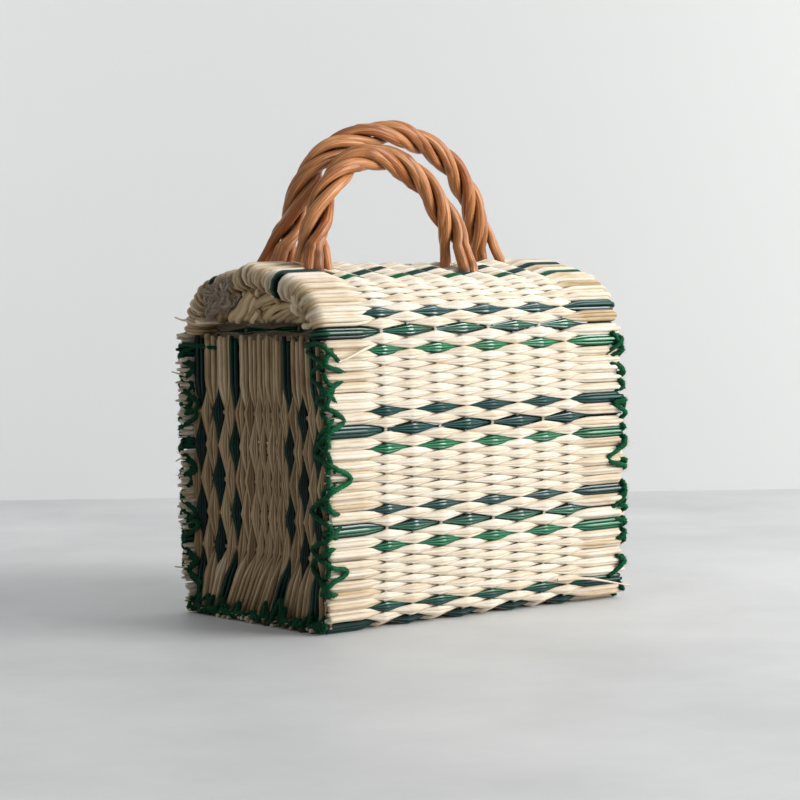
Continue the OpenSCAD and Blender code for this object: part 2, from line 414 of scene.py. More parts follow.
def plain_stems(kit, curves, run, tone, age):
    """Keeps on undyed stems what the rush material asks for."""
    curves = marked(kit, curves, "POINT", along=run)
    return marked(kit, curves, "CURVE", lift=1.0, dye=0.0, bright=0.0, tone=tone, age=age)


def line_number(kit):
    """The point's number in all, and the number of its line."""
    index = kit.geo("InputIndex")
    return index, kit.geo("FieldOnDomain", Value=index, domain="CURVE", data_type="INT")


def many_lines(kit, count, rings):
    """Equal lines of many points: (curves, line number, share along the line)."""
    points = kit.geo("Points", Count=count)
    line = kit.geo("CurvePrimitiveLine", Start=(0, 0, 0), End=(0, 0, 1))
    fine = kit.geo("ResampleCurve", Curve=line, Count=rings)
    placed = kit.geo("InstanceOnPoints", Points=points, Instance=fine)
    curves = kit.geo("RealizeInstances", Geometry=placed)
    index, number = line_number(kit)
    return curves, number, ((index + 0.5) % rings - 0.5) / (rings - 1)


def followed(kit, curve, distance, axis=ACROSS):
    """A curve's position, heading and outer side at a distance along it."""
    made = kit.node("GeometryNodeSampleCurve", Curves=curve, Length=distance, mode="LENGTH")
    heading = kit.out(made, "Tangent")
    outwards = kit.vector("NORMALIZE", kit.vector("CROSS_PRODUCT", heading, axis))
    return kit.out(made, "Position"), heading, outwards


def placed_at(kit, geometry, point):
    """Geometry with its points put in place."""
    return kit.geo("SetPosition", Geometry=geometry, Position=point)


def swept(kit, curves, profile, radius):
    """A smooth closed mesh of a profile along curves."""
    mesh = kit.geo("CurveToMesh", Curve=curves, Profile_Curve=profile, Scale=radius, Fill_Caps=True)
    return kit.geo("SetShadeSmooth", Geometry=mesh)


def round_rods(kit, curves, radius, sides):
    """Round rods along curves, with the share around each rod kept for its material."""
    circle = kit.geo("CurvePrimitiveCircle", Resolution=sides, Radius=1.0)
    around = kit.out(kit.node("GeometryNodeSplineParameter"), "Factor")
    return swept(kit, curves, marked(kit, circle, "POINT", around=around), radius)


def finished(kit, geometry, given):
    """Closes a tree with real geometry and its material."""
    real = kit.geo("RealizeInstances", Geometry=geometry)
    return close_group(kit, mesh=kit.geo("SetMaterial", Geometry=real, Material=given.material))


def stripe_place(kit, given, row):
    """Distance of a row from the section's start, with the rows of a stripe set wider apart."""
    half = STRIPE_REPEAT / 2
    from_middle = row + (given.first_row + given.stripe_shift) - 3.0
    swing = kit.sine(from_middle * (TURN / STRIPE_REPEAT))
    near = (from_middle + half) % STRIPE_REPEAT - half
    push = kit.clamped(near, -1.0, 1.0) * kit.most(1.0 - abs(near) / 6.0, 0.0)
    return given.first_place + given.row_pitch * (row + 0.30 * swing + given.stripe_gap * push)


@cache
def rush_weave_tree():
    """Bundles of rush stems that pass over and under the warps along a section."""
    kit, given = grower(
        "Rush Weave",
        rows=10, stems=3, rings=69, first_row=0, first_place=0.0, row_pitch=0.00325,
        stripe_shift=STRIPE_SHIFT, stripe_gap=0.30, warps=8, warp_spacing=0.0208, warp_middle=0.0,
        low_end=-0.117, high_end=0.117, axis=ACROSS, wave=0.0017,
        turn_start=1.0, turn_radius=0.004, end_rings=0.10, tip_length=0.0045, tip_narrowing=1.0,
        bulge=0.0, bulge_height=0.1755, lean=0.0, sag=0.0, bunch_length=0.022, bunch_pull=0.0,
        fullness=1.0, free_fullness=0.15, variety=1.0, stem_spread=1.50, stem_girth=1.45, crown=1.0,
        age=0.0, end_age=0.12, turn_age=0.0, brightness=1.0, seed=1,
    )
    stems, seed, pitch, axis = given.stems, given.seed, given.row_pitch, given.axis
    curves, number, share = many_lines(kit, given.rows * stems, given.rings)
    row = kit.math("FLOOR", (number + 0.5) / stems)
    stem = number - row * stems
    lot = row + given.first_row + EVEN_START

    # Which bundles are dyed: three in every repeat, and the third is the brighter
    stripe = (lot + given.stripe_shift + 0.25) % STRIPE_REPEAT
    dyed = (1.0 - kit.above(stripe % 3.0, 0.9)) * (1.0 - kit.above(stripe, 6.9))
    third = dyed * kit.above(stripe, 5.9)
    tone = kit.random(number, seed, 0.0, 1.0)
    bright = dyed * given.brightness * kit.clamped(0.75 * third + 0.45 * kit.above(tone, 0.82))

    # Place along the stem, with points gathered near the warps for a crisp crease
    spacing = given.warp_spacing
    last = given.warps - 1.0
    first_warp = given.warp_middle - 0.5 * last * spacing
    ragged = 1.0 + 0.018 * kit.random(number, seed + 1)
    centre = 0.5 * (given.low_end + given.high_end)
    reach = 0.5 * (given.high_end - given.low_end)
    straight = kit.least(given.turn_start, 0.9 * reach)
    outer_rings = given.end_rings
    step = abs(share * 2.0 - 1.0)
    away = straight * kit.least(step / (1.0 - outer_rings), 1.0)
    away = away + (reach - straight) * kit.most((step - 1.0 + outer_rings) / outer_rings, 0.0)
    even = centre + kit.math("SIGN", share - 0.5) * away * ragged
    tip = kit.eased(1.0 - (reach - away) / given.tip_length)
    along = even - 0.7 / TURN * spacing * kit.sine((even - first_warp) * TURN / spacing)

    # Over and under: 1 on top of a warp, 0 behind it
    warp = kit.clamped((along - first_warp) / spacing, -0.82, last + 0.82)
    lift = 1.0 - kit.math("PINGPONG", warp + lot + 2.0, 1.0)
    past = kit.most(first_warp - along, along - first_warp - last * spacing)
    free = kit.eased(past / spacing)
    outer = kit.above(along, given.warp_middle) * last
    tapers = 1.0 - kit.math("PINGPONG", outer + lot + 2.0, 1.0)
    swells = 1.0 - tapers
    edge = kit.eased(past / spacing * 8.0)

    # Half width of the bundle, and the place of the stem in it
    wide = 1.0 + 0.13 * kit.cosine((lot + given.stripe_shift - 3.0) * (TURN / STRIPE_REPEAT))
    own = 1.0 + 0.05 * kit.random(row, seed + 2) + 0.04 * dyed
    belly = pitch * given.fullness * wide * own
    pinch = pitch * 0.06
    power = 0.97 + edge * (0.9 * tapers - 0.56 * swells)
    half = pinch + (belly * (1.0 + given.free_fullness * free * swells) - pinch) * lift ** power
    middle = 0.5 * (stems - 1.0)
    wobble = kit.noise(along * 40.0, number * 3.7, 0.0, 2.0)
    slot = (stem - middle) * given.stem_spread / stems * half * (1.0 + 0.12 * wobble)
    plump = given.stem_girth + 0.16 * given.variety * kit.random(number, seed + 3)
    plump = plump * (1.0 - given.tip_narrowing * tip * (0.42 + 0.25 * kit.random(number, seed + 8)))
    radius = kit.most(half / stems * plump, 0.11 * pitch)
    crown = given.crown * (0.24 + 0.30 * free) * half * (1.0 - abs(stem - middle))
    raised = given.wave * (2.0 * lift - 1.0) + crown + 0.10 * radius * wobble
    raised = raised + free * swells * 0.5 * MM * kit.random(number, seed + 4)

    # Place along the section, with the free ends bunched by the stitches
    drift = kit.noise(along * 16.0, row * 0.35, 7.0)
    base = stripe_place(kit, given, row)
    base = base + pitch * (0.16 * drift + 0.12 * free * kit.random(row, seed + 6))
    cell = (kit.math("FLOOR", base / given.bunch_length) + 0.5) * given.bunch_length
    base = base + (cell - base) * given.bunch_pull * free
    part = base / kit.geo("CurveLength", Curve=given.section)
    base = base - given.lean * kit.most(first_warp - along, 0.0) * 4.0 * part * (1.0 - part)
    place, _, outwards = followed(kit, given.section, base + slot, axis)

    # The ends of a flap's stems turn under
    side = kit.math("SIGN", along - centre)
    beyond = kit.most(abs(along - centre) - given.turn_start, 0.0)
    bend = kit.least(beyond / given.turn_radius, math.pi)
    rest = kit.most(beyond - math.pi * given.turn_radius, 0.0)
    rounded = given.turn_radius + raised
    run = kit.least(abs(along - centre), given.turn_start) + rounded * kit.sine(bend) - rest

    # The whole mat sags and bulges a little
    soft = kit.noise(along * 11.0, base * 11.0, 3.0 + seed * 1.7)
    height = rounded * kit.cosine(bend) - given.turn_radius + given.sag * soft
    point = kit.moved(place, (outwards, height), (axis, centre + side * run))
    reached = (along - centre) / reach
    x, y, z = kit.split(point)
    upright = kit.sine(kit.clamped(z / given.bulge_height) * math.pi)
    swell = 1.0 + given.bulge * upright * kit.most(1.0 - reached * reached, 0.0)
    curves = placed_at(kit, curves, kit.xyz(x, y * swell, kit.most(z, 0.9 * radius)))

    # What the material asks for: age, which also paints shade at the ends and under the turned tips, and
    # creases for painted shade where a stem turns away from the mat's outer side
    # Older, darker free ends in random patches and darker turned-under tips: partly older rush, partly
    # painted shade under the flap's ends
    patch = 0.55 + 1.7 * kit.above(kit.random(row, seed + 9), 0.55)
    age = given.age + given.end_age * free * patch + given.turn_age * bend / math.pi
    curves = marked(kit, curves, "POINT", along=along, lift=lift, age=kit.most(age, 0.76 * given.age))
    curves = marked(kit, curves, "CURVE", dye=dyed, bright=bright, tone=tone)
    outer_side = kit.moved(kit.scaled(outwards, kit.cosine(bend)), (axis, side * kit.sine(bend)))
    curves = kit.geo(
        "StoreNamedAttribute", Geometry=curves, Name="outer_side", Value=outer_side,
        domain="POINT", data_type="FLOAT_VECTOR",
    )
    mesh = round_rods(kit, curves, radius, sides=6)
    kept_side = kit.geo("InputNamedAttribute", Name="outer_side", data_type="FLOAT_VECTOR")
    facing = kit.vector("DOT_PRODUCT", kit.geo("InputNormal"), kept_side)
    # Painted shade in the creases between stems, from how far a point faces away from the outer side
    mesh = marked(kit, mesh, "POINT", crease=1.0 - abs(facing))
    return finished(kit, kit.geo("RemoveAttribute", Geometry=mesh, Name="outer_side"), given)


@cache
def tucked_ends_tree():
    """Hairpins of rush tucked under the end of a flap."""
    kit, given = grower(
        "Tucked Ends",
        count=60, layers=5, layer_pitch=0.0058, first_depth=0.0075, lowest=0.176, edge=-0.112, side=-1.0,
        leg_length=0.022, loop_radius=0.0027, stem_radius=0.0016, wander=0.0012, pile=0.0016,
        raggedness=0.0035, seed=1,
    )
    seed = given.seed
    curves, number, share = many_lines(kit, given.count, rings=26)
    reach = kit.geo("CurveLength", Curve=given.section)
    base = reach * (number + 0.5 + 0.6 * kit.random(number, seed)) / given.count
    layer = number % given.layers + 0.25 * kit.random(number, seed + 1)
    place, heading, outwards = followed(kit, given.section, base)

    loop = given.loop_radius * (1.0 + 0.35 * kit.random(number, seed + 2))
    leg = given.leg_length * (1.0 + 0.25 * kit.random(number, seed + 3))
    run = share * (2.0 * leg + math.pi * loop)
    turn = kit.clamped((run - leg) / loop, 0.0, math.pi)
    out = kit.least(run, leg) - leg + loop * kit.sine(turn) - kit.most(run - leg - math.pi * loop, 0.0)
    aside = -loop * kit.cosine(turn)
    tilt = math.pi * 0.5 * kit.random(number, seed + 4)
    wander = kit.noise(run * 60.0, number * 2.3, seed * 1.0)
    sideways = aside * kit.cosine(tilt) + given.wander * wander
    upwards = aside * kit.sine(tilt) - (given.first_depth + layer * given.layer_pitch)
    point = kit.moved(place, (kit.vector("NORMALIZE", heading), sideways), (outwards, upwards))
    _, y, z = kit.split(point)
    across = given.edge + given.side * (out + given.raggedness * kit.random(number, seed + 5))
    piled = given.lowest + given.pile * kit.random(number, seed + 6, 0.6, 2.0)
    curves = placed_at(kit, curves, kit.xyz(across, y, kit.most(z, piled)))

    tone = kit.random(number, seed + 7, 0.0, 1.0)
    # Tucked stems are painted tan to brown, partly older rush and partly painted shade under the flap
    curves = plain_stems(kit, curves, run, tone, 0.35 + 0.6 * tone)
    thick = given.stem_radius * (1.0 + 0.25 * kit.random(number, seed + 8))
    return finished(kit, round_rods(kit, curves, thick, sides=6), given)


@cache
def rolled_border_tree():
    """A thick twisted roll of rush along the end of a flap."""
    kit, given = grower(
        "Rolled Border",
        stems=30, hinge_first=1.0, edge=-0.106, hinge_radius=0.0035, slit_radius=0.0115, skin=0.0075,
        lowest=0.176, twist_pitch=0.11, stem_radius=0.0019, golden_angle=2.39996, seed=1,
    )
    seed = given.seed
    curves, number, share = many_lines(kit, given.stems, rings=32)
    trim = kit.random(number, seed, 0.0, 0.05)
    part = 0.03 + trim + share * (0.94 - 2.0 * trim)
    run = part * kit.geo("CurveLength", Curve=given.section)
    from_hinge = given.hinge_first * part + (1.0 - given.hinge_first) * (1.0 - part)
    girth = given.hinge_radius + (given.slit_radius - given.hinge_radius) * kit.eased(from_hinge * 1.1)
    place, _, outwards = followed(kit, given.section, run)
    ring = kit.math("SQRT", kit.random(number, seed + 1, 0.12, 1.0))
    sway = kit.noise(run * 45.0, number * 3.1, seed * 1.0)
    angle = number * given.golden_angle + run / given.twist_pitch * TURN + 0.5 * sway
    off = girth * ring * (1.0 + 0.15 * sway)
    depth = given.skin + girth - off * kit.cosine(angle)
    _, y, z = kit.split(kit.moved(place, (outwards, -depth)))
    across = given.edge + off * kit.sine(angle)
    piled = given.lowest + given.stem_radius * kit.random(number, seed + 2, 0.9, 2.2)
    curves = placed_at(kit, curves, kit.xyz(across, y, kit.most(z, piled)))

    tone = kit.random(number, seed + 3, 0.0, 1.0)
    # The border's stems are painted brown, partly older rush and partly painted shade under the lid's end
    curves = plain_stems(kit, curves, run, tone, 0.75 + 0.7 * tone)
    thick = given.stem_radius * (1.0 + 0.22 * kit.random(number, seed + 4) + 0.12 * sway)
    return finished(kit, round_rods(kit, curves, thick, sides=7), given)


@cache
def warp_thread_tree():
    """Pairs of warp threads that hold the bundles."""
    kit, given = grower(
        "Warp Threads",
        rows=10, first_row=0, first_place=0.0, row_pitch=0.00325, stripe_shift=STRIPE_SHIFT, stripe_gap=0.30,
        warps=8, warp_spacing=0.0208, warp_middle=0.0, axis=ACROSS, wave=0.0011, radius=0.00055, age=0.0,
    )
    curves, number, share = many_lines(kit, given.warps * 2.0, given.rows * 2 + 1)
    warp = kit.math("FLOOR", (number + 0.5) / 2.0)
    twin = (number - warp * 2.0) * 2.0 - 1.0
    row = share * given.rows - 0.5
    lot = row + given.first_row + EVEN_START
    base = stripe_place(kit, given, row)
    place, _, outwards = followed(kit, given.section, base, given.axis)
    height = -given.wave * kit.cosine((lot + warp) * math.pi)
    run = given.warp_middle + (warp - 0.5 * (given.warps - 1.0)) * given.warp_spacing
    run = run + twin * given.radius * 0.95
    curves = placed_at(kit, curves, kit.moved(place, (outwards, height), (given.axis, run)))
    curves = marked(kit, curves, "POINT", along=base)
    curves = marked(kit, curves, "CURVE", age=given.age)
    return finished(kit, round_rods(kit, curves, given.radius, sides=4), given)


YARN_INPUTS = {"radius": 0.0015, "hair_density": 560000.0, "hair_length": 0.0027, "seed": 1}


@cache
def fuzzy_yarn_tree():
    """Plied wool yarn with stray hairs along curves."""
    kit, given = new_group(
        "Fuzzy Yarn", "GeometryNodeTree", {"mesh": "geometry"},
        curve="geometry", step=0.0013, ply_length=0.007, hair_radius=0.00006, floor=0.2 * MM,
        **YARN_INPUTS, material="material",
    )
    fine = kit.geo("ResampleCurve", Curve=given.curve, Length=given.step, mode="LENGTH")
    shake = kit.node("ShaderNodeTexNoise", Vector=kit.geo("InputPosition"), Scale=160.0, Detail=1.0)
    jitter = kit.vector("SUBTRACT", kit.out(shake, "Color"), (0.5, 0.5, 0.5))
    fine = kit.geo("SetPosition", Geometry=fine, Offset=kit.scaled(jitter, given.radius * 0.9))
    run = kit.out(kit.node("GeometryNodeSplineParameter"), "Length")
    twisted = kit.geo("SetCurveTilt", Curve=fine, Tilt=run / given.ply_length * TURN)
    twisted = marked(kit, twisted, "POINT", along=run)
    circle = kit.geo("CurvePrimitiveCircle", Resolution=8, Radius=1.0)
    around = kit.out(kit.node("GeometryNodeSplineParameter"), "Factor")
    lobes = 0.80 + 0.26 * abs(kit.cosine(around * (3.0 * math.pi)))
    profile = placed_at(kit, circle, kit.scaled(kit.geo("InputPosition"), lobes))
    body = swept(kit, twisted, marked(kit, profile, "POINT", around=lobes), given.radius)

    spread = kit.node(
        "GeometryNodeDistributePointsOnFaces", Mesh=body, Density=given.hair_density, Seed=given.seed
    )
    hair = kit.geo(
        "MeshCone", Vertices=3, Radius_Top=0.0, Radius_Bottom=given.hair_radius, Depth=given.hair_length,
        fill_type="NGON",
    )
    lean = kit.call(
        "FunctionNodeRandomValue", Min=(-1.15, -1.15, -3.1), Max=(1.15, 1.15, 3.1), Seed=given.seed,
        data_type="FLOAT_VECTOR",
    )
    turned = kit.call(
        "FunctionNodeRotateRotation", Rotation=kit.out(spread, "Rotation"), Rotate_By=lean,
        rotation_space="LOCAL",
    )
    size = kit.call("FunctionNodeRandomValue", Min=0.5, Max=1.2, Seed=given.seed)
    grown = kit.geo(
        "InstanceOnPoints", Points=kit.out(spread, "Points"), Instance=hair, Rotation=turned, Scale=size
    )
    both = kit.node("GeometryNodeJoinGeometry")
    for geometry in (body, grown):
        kit.plug(both.inputs[0], geometry)
    made = kit.geo("RealizeInstances", Geometry=kit.out(both))
    x, y, z = kit.split(kit.geo("InputPosition"))
    made = placed_at(kit, made, kit.xyz(x, y, kit.most(z, given.floor)))
    return finished(kit, made, given)


def smooth_line(kit, chain):
    """A smooth curve through the points of a chain."""
    return kit.geo("CurveSplineType", Curve=chain, spline_type="CATMULL_ROM")


def yarn_along(kit, given, chain):
    """Closes a tree with fuzzy yarn along a smooth chain."""
    inputs = {key: getattr(given, key) for key in (*YARN_INPUTS, "material")}
    inputs = labelled({"curve": smooth_line(kit, chain), **inputs})
    return close_group(kit, mesh=kit.geo("Group", node_tree=fuzzy_yarn_tree(), **inputs))


@cache
def seam_stitch_tree():
    """A zigzag of yarn round the corner between the long mat and an end panel."""
    kit, given = grower(
        "Seam Stitches",
        stitches=10, stitch_drop=0.008, half_width=0.117, side=-1.0, wall_reach=0.013, end_reach=0.015,
        end_inset=0.004, lift=0.0045, unevenness=0.25, on_ground=0.0, start_at_wall=0, **YARN_INPUTS,
    )
    seed, radius = given.seed, given.radius
    reach = kit.geo("CurveLength", Curve=given.section)
    count = given.stitches * 4.0
    chain = kit.geo("PointsToCurves", Points=kit.geo("Points", Count=count + 1.0))
    index = kit.geo("InputIndex")
    seam_run = reach - 2.0 * given.stitch_drop
    base = given.stitch_drop + (index + given.unevenness * kit.random(index, seed)) / count * seam_run
    corner = index % 2.0
    at_wall = 1.0 - kit.above((index + 2.0 * given.start_at_wall) % 4.0, 0.5)
    at_end = (1.0 - corner) * (1.0 - at_wall)
    place, _, outwards = followed(kit, given.section, base)
    uneven = 1.0 + given.unevenness * kit.random(index, seed + 5)
    in_from_edge = at_wall * (1.0 - given.on_ground) * (given.wall_reach * uneven + radius)
    in_from_edge = in_from_edge + at_end * given.end_inset
    across = given.side * (given.half_width + radius * 0.8 - in_from_edge)
    dive = 0.25 + 1.15 * kit.above(kit.random(index, seed + 9), -0.45)
    height = given.lift * (1.0 - at_end) * (1.0 - dive * at_wall) - given.end_reach * uneven * at_end
    _, y, z = kit.split(kit.moved(place, (outwards, height)))
    return yarn_along(kit, given, placed_at(kit, chain, kit.xyz(across, y, kit.most(z, radius * 1.5))))


@cache
def loose_yarn_tree():
    """Fuzzy yarn along a chain of points."""
    kit, given = grower("Loose Yarn", **YARN_INPUTS)
    return yarn_along(kit, given, given.section)


@cache
def stray_stem_tree():
    """Loose rush stems along chains of points, thinner towards their tips."""
    kit, given = grower("Stray Stems", radius=0.0009, age=0.2, seed=1)
    chain = kit.geo("ResampleCurve", Curve=smooth_line(kit, given.section), Count=24)
    made = kit.node("GeometryNodeSplineParameter")
    share, run = kit.out(made, "Factor"), kit.out(made, "Length")
    _, number = line_number(kit)
    chain = plain_stems(kit, chain, run, kit.random(number, given.seed, 0.0, 1.0), given.age)
    thin = given.radius * (1.0 - 0.55 * kit.eased(share * 1.2 - 0.2))
    return finished(kit, round_rods(kit, chain, thin, sides=7), given)


@cache
def twisted_willow_tree():
    """Willow rods wound in pairs round a middle line, splayed at both feet."""
    kit, given = grower(
        "Twisted Willow",
        strands=3, rings=160, rod_radius=0.0023, wind_radius=0.0049, foot_ring=0.0095, splay_length=0.034,
        twist_pitch=0.068, seed=1,
    )
    seed, splay, wind = given.seed, given.splay_length, given.wind_radius
    reach = kit.geo("CurveLength", Curve=given.section)
    curves, number, share = many_lines(kit, given.strands * 2.0, given.rings)
    strand = kit.math("FLOOR", (number + 0.5) / 2.0)
    twin = (number - strand * 2.0) * 2.0 - 1.0
    run = share * reach
    place, heading, inwards = followed(kit, given.section, run, DEEP)
    aside = kit.vector("CROSS_PRODUCT", inwards, heading)
    wound = kit.clamped(run - 0.5 * splay, 0.0, reach - splay)
    foot = kit.most(1.0 - kit.least(run, reach - run) / splay, 0.0) ** 1.7
    ease = kit.noise(run * 22.0, strand * 9.1, seed * 1.3)
    roll = kit.noise(run * 30.0, number * 5.3, 2.0 + seed)
    lap = kit.noise(run * 18.0, strand * 7.7, 5.0 + seed * 0.7, 0.0) * 2.2
    angle = wound / given.twist_pitch * TURN + strand * (TURN / 3.0)
    angle = angle + twin * 0.29 * kit.cosine(lap) + 0.26 * ease
    spread = wind + twin * 0.2 * wind * kit.sine(lap) * (1.0 - foot)
    spread = spread * (1.0 + 0.06 * roll + 0.06 * ease) + (given.foot_ring - wind) * foot
    point = kit.moved(place, (inwards, -spread * kit.cosine(angle)), (aside, spread * kit.sine(angle)))
    curves = placed_at(kit, curves, point)

    knot_wave = kit.noise(run * 75.0, number * 11.7, seed * 3.1, 0.0)
    knot = kit.eased((knot_wave - 0.38) / 0.22)
    thick = 1.0 + 0.14 * kit.random(number, seed) + 0.09 * roll + 0.16 * knot
    curves = marked(kit, curves, "POINT", along=run, knot=knot)
    curves = marked(kit, curves, "CURVE", tone=kit.random(number, seed + 8, 0.0, 1.0))
    mesh = round_rods(kit, curves, given.rod_radius * thick, sides=10)
    # How far each point faces in towards the middle line, for the painted shade between the rods
    near = kit.node("GeometryNodeProximity", given.chain, target_element="EDGES")
    deep = (wind + 0.5 * given.rod_radius - kit.out(near, "Distance")) / given.rod_radius
    return finished(kit, marked(kit, mesh, "POINT", deep=kit.clamped(deep)), given)


# Materials, each made once


@cache
def fibre_group():
    """Streaks that run along a stem or rod, blotches and a height."""
    kit, given = new_group(
        "Fibre Streaks", "ShaderNodeTree", {"streak": float, "blotch": float, "height": float},
        along=0.0, around=0.0, own=0.0, stretch=60.0, fineness=14.0,
    )
    lengthwise = given.along * given.stretch
    turn = given.around * TURN
    wide = given.fineness * 0.16
    ring = kit.xyz(kit.cosine(turn) * wide, kit.sine(turn) * wide, lengthwise + given.own * 37.0)
    streak = kit.texture(ring, scale=1.6, detail=4.0, roughness=0.6)
    fine = kit.texture(ring, scale=5.0, detail=2.0)
    patch = kit.xyz(lengthwise * 0.8, given.own * 51.0, given.around * 2.0)
    blotch = kit.texture(patch, scale=1.0, detail=3.0)
    return close_group(kit, streak=streak, blotch=blotch, height=0.6 * streak + 0.4 * fine)


def new_material(name):
    """A material with an empty tree: (material, kit, Principled node)."""
    material = bpy.data.materials.new(name)
    material.use_nodes = True
    material.node_tree.nodes.clear()
    kit = Kit(material.node_tree)
    shader = kit.node("ShaderNodeBsdfPrincipled")
    kit.plug(kit.node("ShaderNodeOutputMaterial").inputs["Surface"], kit.out(shader))
    return material, kit, shader


def paint(kit, shader, **inputs):
    """Feeds a shader's inputs by their names."""
    for name, value in inputs.items():
        kit.plug(shader.inputs[name.replace("_", " ")], value)


def kept(kit, name):
    """A number kept on the mesh by its geometry tree."""
    return kit.out(kit.node("ShaderNodeAttribute", attribute_name=name), "Fac")


def streaks(kit, own, stretch, fineness):
    """The fibre streaks of one material: (streak, blotch, height)."""
    made = kit.node(
        "ShaderNodeGroup", Along=kept(kit, "along"), Around=kept(kit, "around"), Own=own, Stretch=stretch,
        Fineness=fineness, node_tree=fibre_group(),
    )
    return [kit.out(made, name) for name in ("Streak", "Blotch", "Height")]


def bumped(kit, height, strength, distance):
    """A normal from a height."""
    return kit.call("ShaderNodeBump", Strength=strength, Distance=distance, Height=height)


@cache
def rush_material():
    """Dry pale rush and glossy dyed rush, by the dye kept on each stem, with painted shade in the creases,
    behind the warps and on the aged and shaded parts.
    """
    colours = bpy.context.scene.bag_colours
    material, kit, shader = new_material("rush")
    tone, dye, bright, lift, aged_and_shaded = (kept(kit, name) for name in ("tone", "dye", "bright", "lift", "age"))
    streak, blotch, height = streaks(kit, tone, stretch=70.0, fineness=16.0)
    crease = kit.stretched(kept(kit, "crease"), 0.05, 0.36)

    # Tan from blotches, streaks and each stem's tone, painted shade where a stem dips behind a warp, and the
    # kept age, which is partly painted shade
    tan_and_shade = 0.50 * kit.stretched(blotch, 0.44, 0.74) + 0.42 * kit.stretched(streak, 0.50, 0.70)
    tan_and_shade = tan_and_shade + (0.45 + 0.5 * aged_and_shaded) * tone * tone + 0.22 * kit.eased(1.0 - lift * 2.2) + aged_and_shaded
    pale = kit.mixed(tan_and_shade, colours.pale_rush, colours.tan_rush)
    pale = kit.mixed(0.92 * kit.stretched(tan_and_shade, 0.95, 2.0), pale, colours.brown_rush)
    # Painted shade in the creases between stems, much stronger on the aged and shaded end panels
    pale = kit.mixed(crease * (0.04 + 0.42 * aged_and_shaded), pale, colours.crease)

    lively = 0.25 + 0.60 * kit.stretched(streak, 0.36, 0.60) + 0.45 * kit.stretched(blotch, 0.40, 0.58)
    green = kit.mixed(bright * lively, colours.dark_dye, colours.bright_dye)
    # Lighter green streaks along the dyed stems: fibre colour and partly a painted highlight
    green = kit.mixed(kit.stretched(height, 0.54, 0.66) * 0.28, green, colours.bright_dye)
    # Painted shade in the creases between dyed stems; dyed stems of aged and shaded parts darkened, partly as
    # painted shade
    green = kit.mixed(0.85 * crease + 0.62 * aged_and_shaded, green, colours.dye_crease_shade)

    glossy = (1.0 - crease) * (0.25 + 0.75 * kit.stretched(tone, 0.35, 0.65))
    paint(
        kit, shader, Base_Color=kit.mixed(dye, pale, green), Roughness=0.48 - 0.14 * dye + 0.10 * streak,
        Specular_IOR_Level=0.12, Coat_Weight=0.02 + 0.98 * dye * glossy * (1.0 - 0.93 * aged_and_shaded),
        Coat_Roughness=0.13, Coat_IOR=1.9, Normal=bumped(kit, height, strength=0.5, distance=0.0005),
    )
    return material


@cache
def cotton_material():
    """Off-white cotton warp thread."""
    colours = bpy.context.scene.bag_colours
    material, kit, shader = new_material("cotton")
    _, blotch, height = streaks(kit, own=0.3, stretch=900.0, fineness=9.0)
    dim = tuple(0.62 * c for c in colours.cotton)
    clean = kit.mixed(kit.stretched(blotch, 0.40, 0.70), colours.cotton, dim)
    # Age darkens the cotton, and also paints shade on the end panels' warps
    base = kit.mixed(kept(kit, "age"), clean, colours.brown_rush)
    normal = bumped(kit, height, strength=0.5, distance=0.0003)
    paint(kit, shader, Base_Color=base, Roughness=0.85, Normal=normal)
    return material


def wool_material(name, deep, light_colour, sheen, end_shade):
    """Fuzzy wool or torn fibre, lighter on top of each ply as painted shade in the folds, and darker away
    from the walls as painted shade on the ends.
    """
    material, kit, shader = new_material(name)
    spot = kit.out(kit.node("ShaderNodeTexCoord"), "Object")
    fluff = kit.texture(spot, scale=900.0, detail=3.0)
    patches = kit.texture(spot, scale=60.0, detail=2.0)
    # Painted shade in the folds between the plies: each ply is lighter on top
    top = kit.stretched(kept(kit, "around"), 0.80, 1.06)
    light = 0.45 * top + 0.5 * kit.stretched(fluff, 0.42, 0.66) + 0.3 * kit.stretched(patches, 0.45, 0.70)
    # Painted shade on the yarn where it runs over the shaded ends, away from the walls
    _, y, _ = kit.split(spot)
    on_wall = kit.stretched(abs(y), 0.071, 0.081)
    light = light * (1.0 - end_shade * (1.0 - on_wall))
    paint(
        kit, shader, Base_Color=kit.mixed(light, deep, light_colour), Roughness=0.9, Specular_IOR_Level=0.2,
        Sheen_Weight=0.18, Sheen_Roughness=0.5, Sheen_Tint=(*sheen, 1.0),
        Normal=bumped(kit, fluff, strength=0.7, distance=0.0006),
    )
    return material


@cache
def yarn_material():
    """Deep green wool."""
    colours = bpy.context.scene.bag_colours
    sheen = (0.25, 0.8, 0.42)
    # The yarn is painted darker over the ends, a painted shade
    return wool_material("yarn", colours.yarn_deep, colours.yarn_light, sheen, end_shade=0.72)


@cache
def torn_material():
    """Torn pith of rush."""
    colours = bpy.context.scene.bag_colours
    sheen = (0.8, 0.65, 0.5)
    return wool_material("torn_fibre", colours.fibre_deep, colours.fibre_light, sheen, end_shade=0.0)


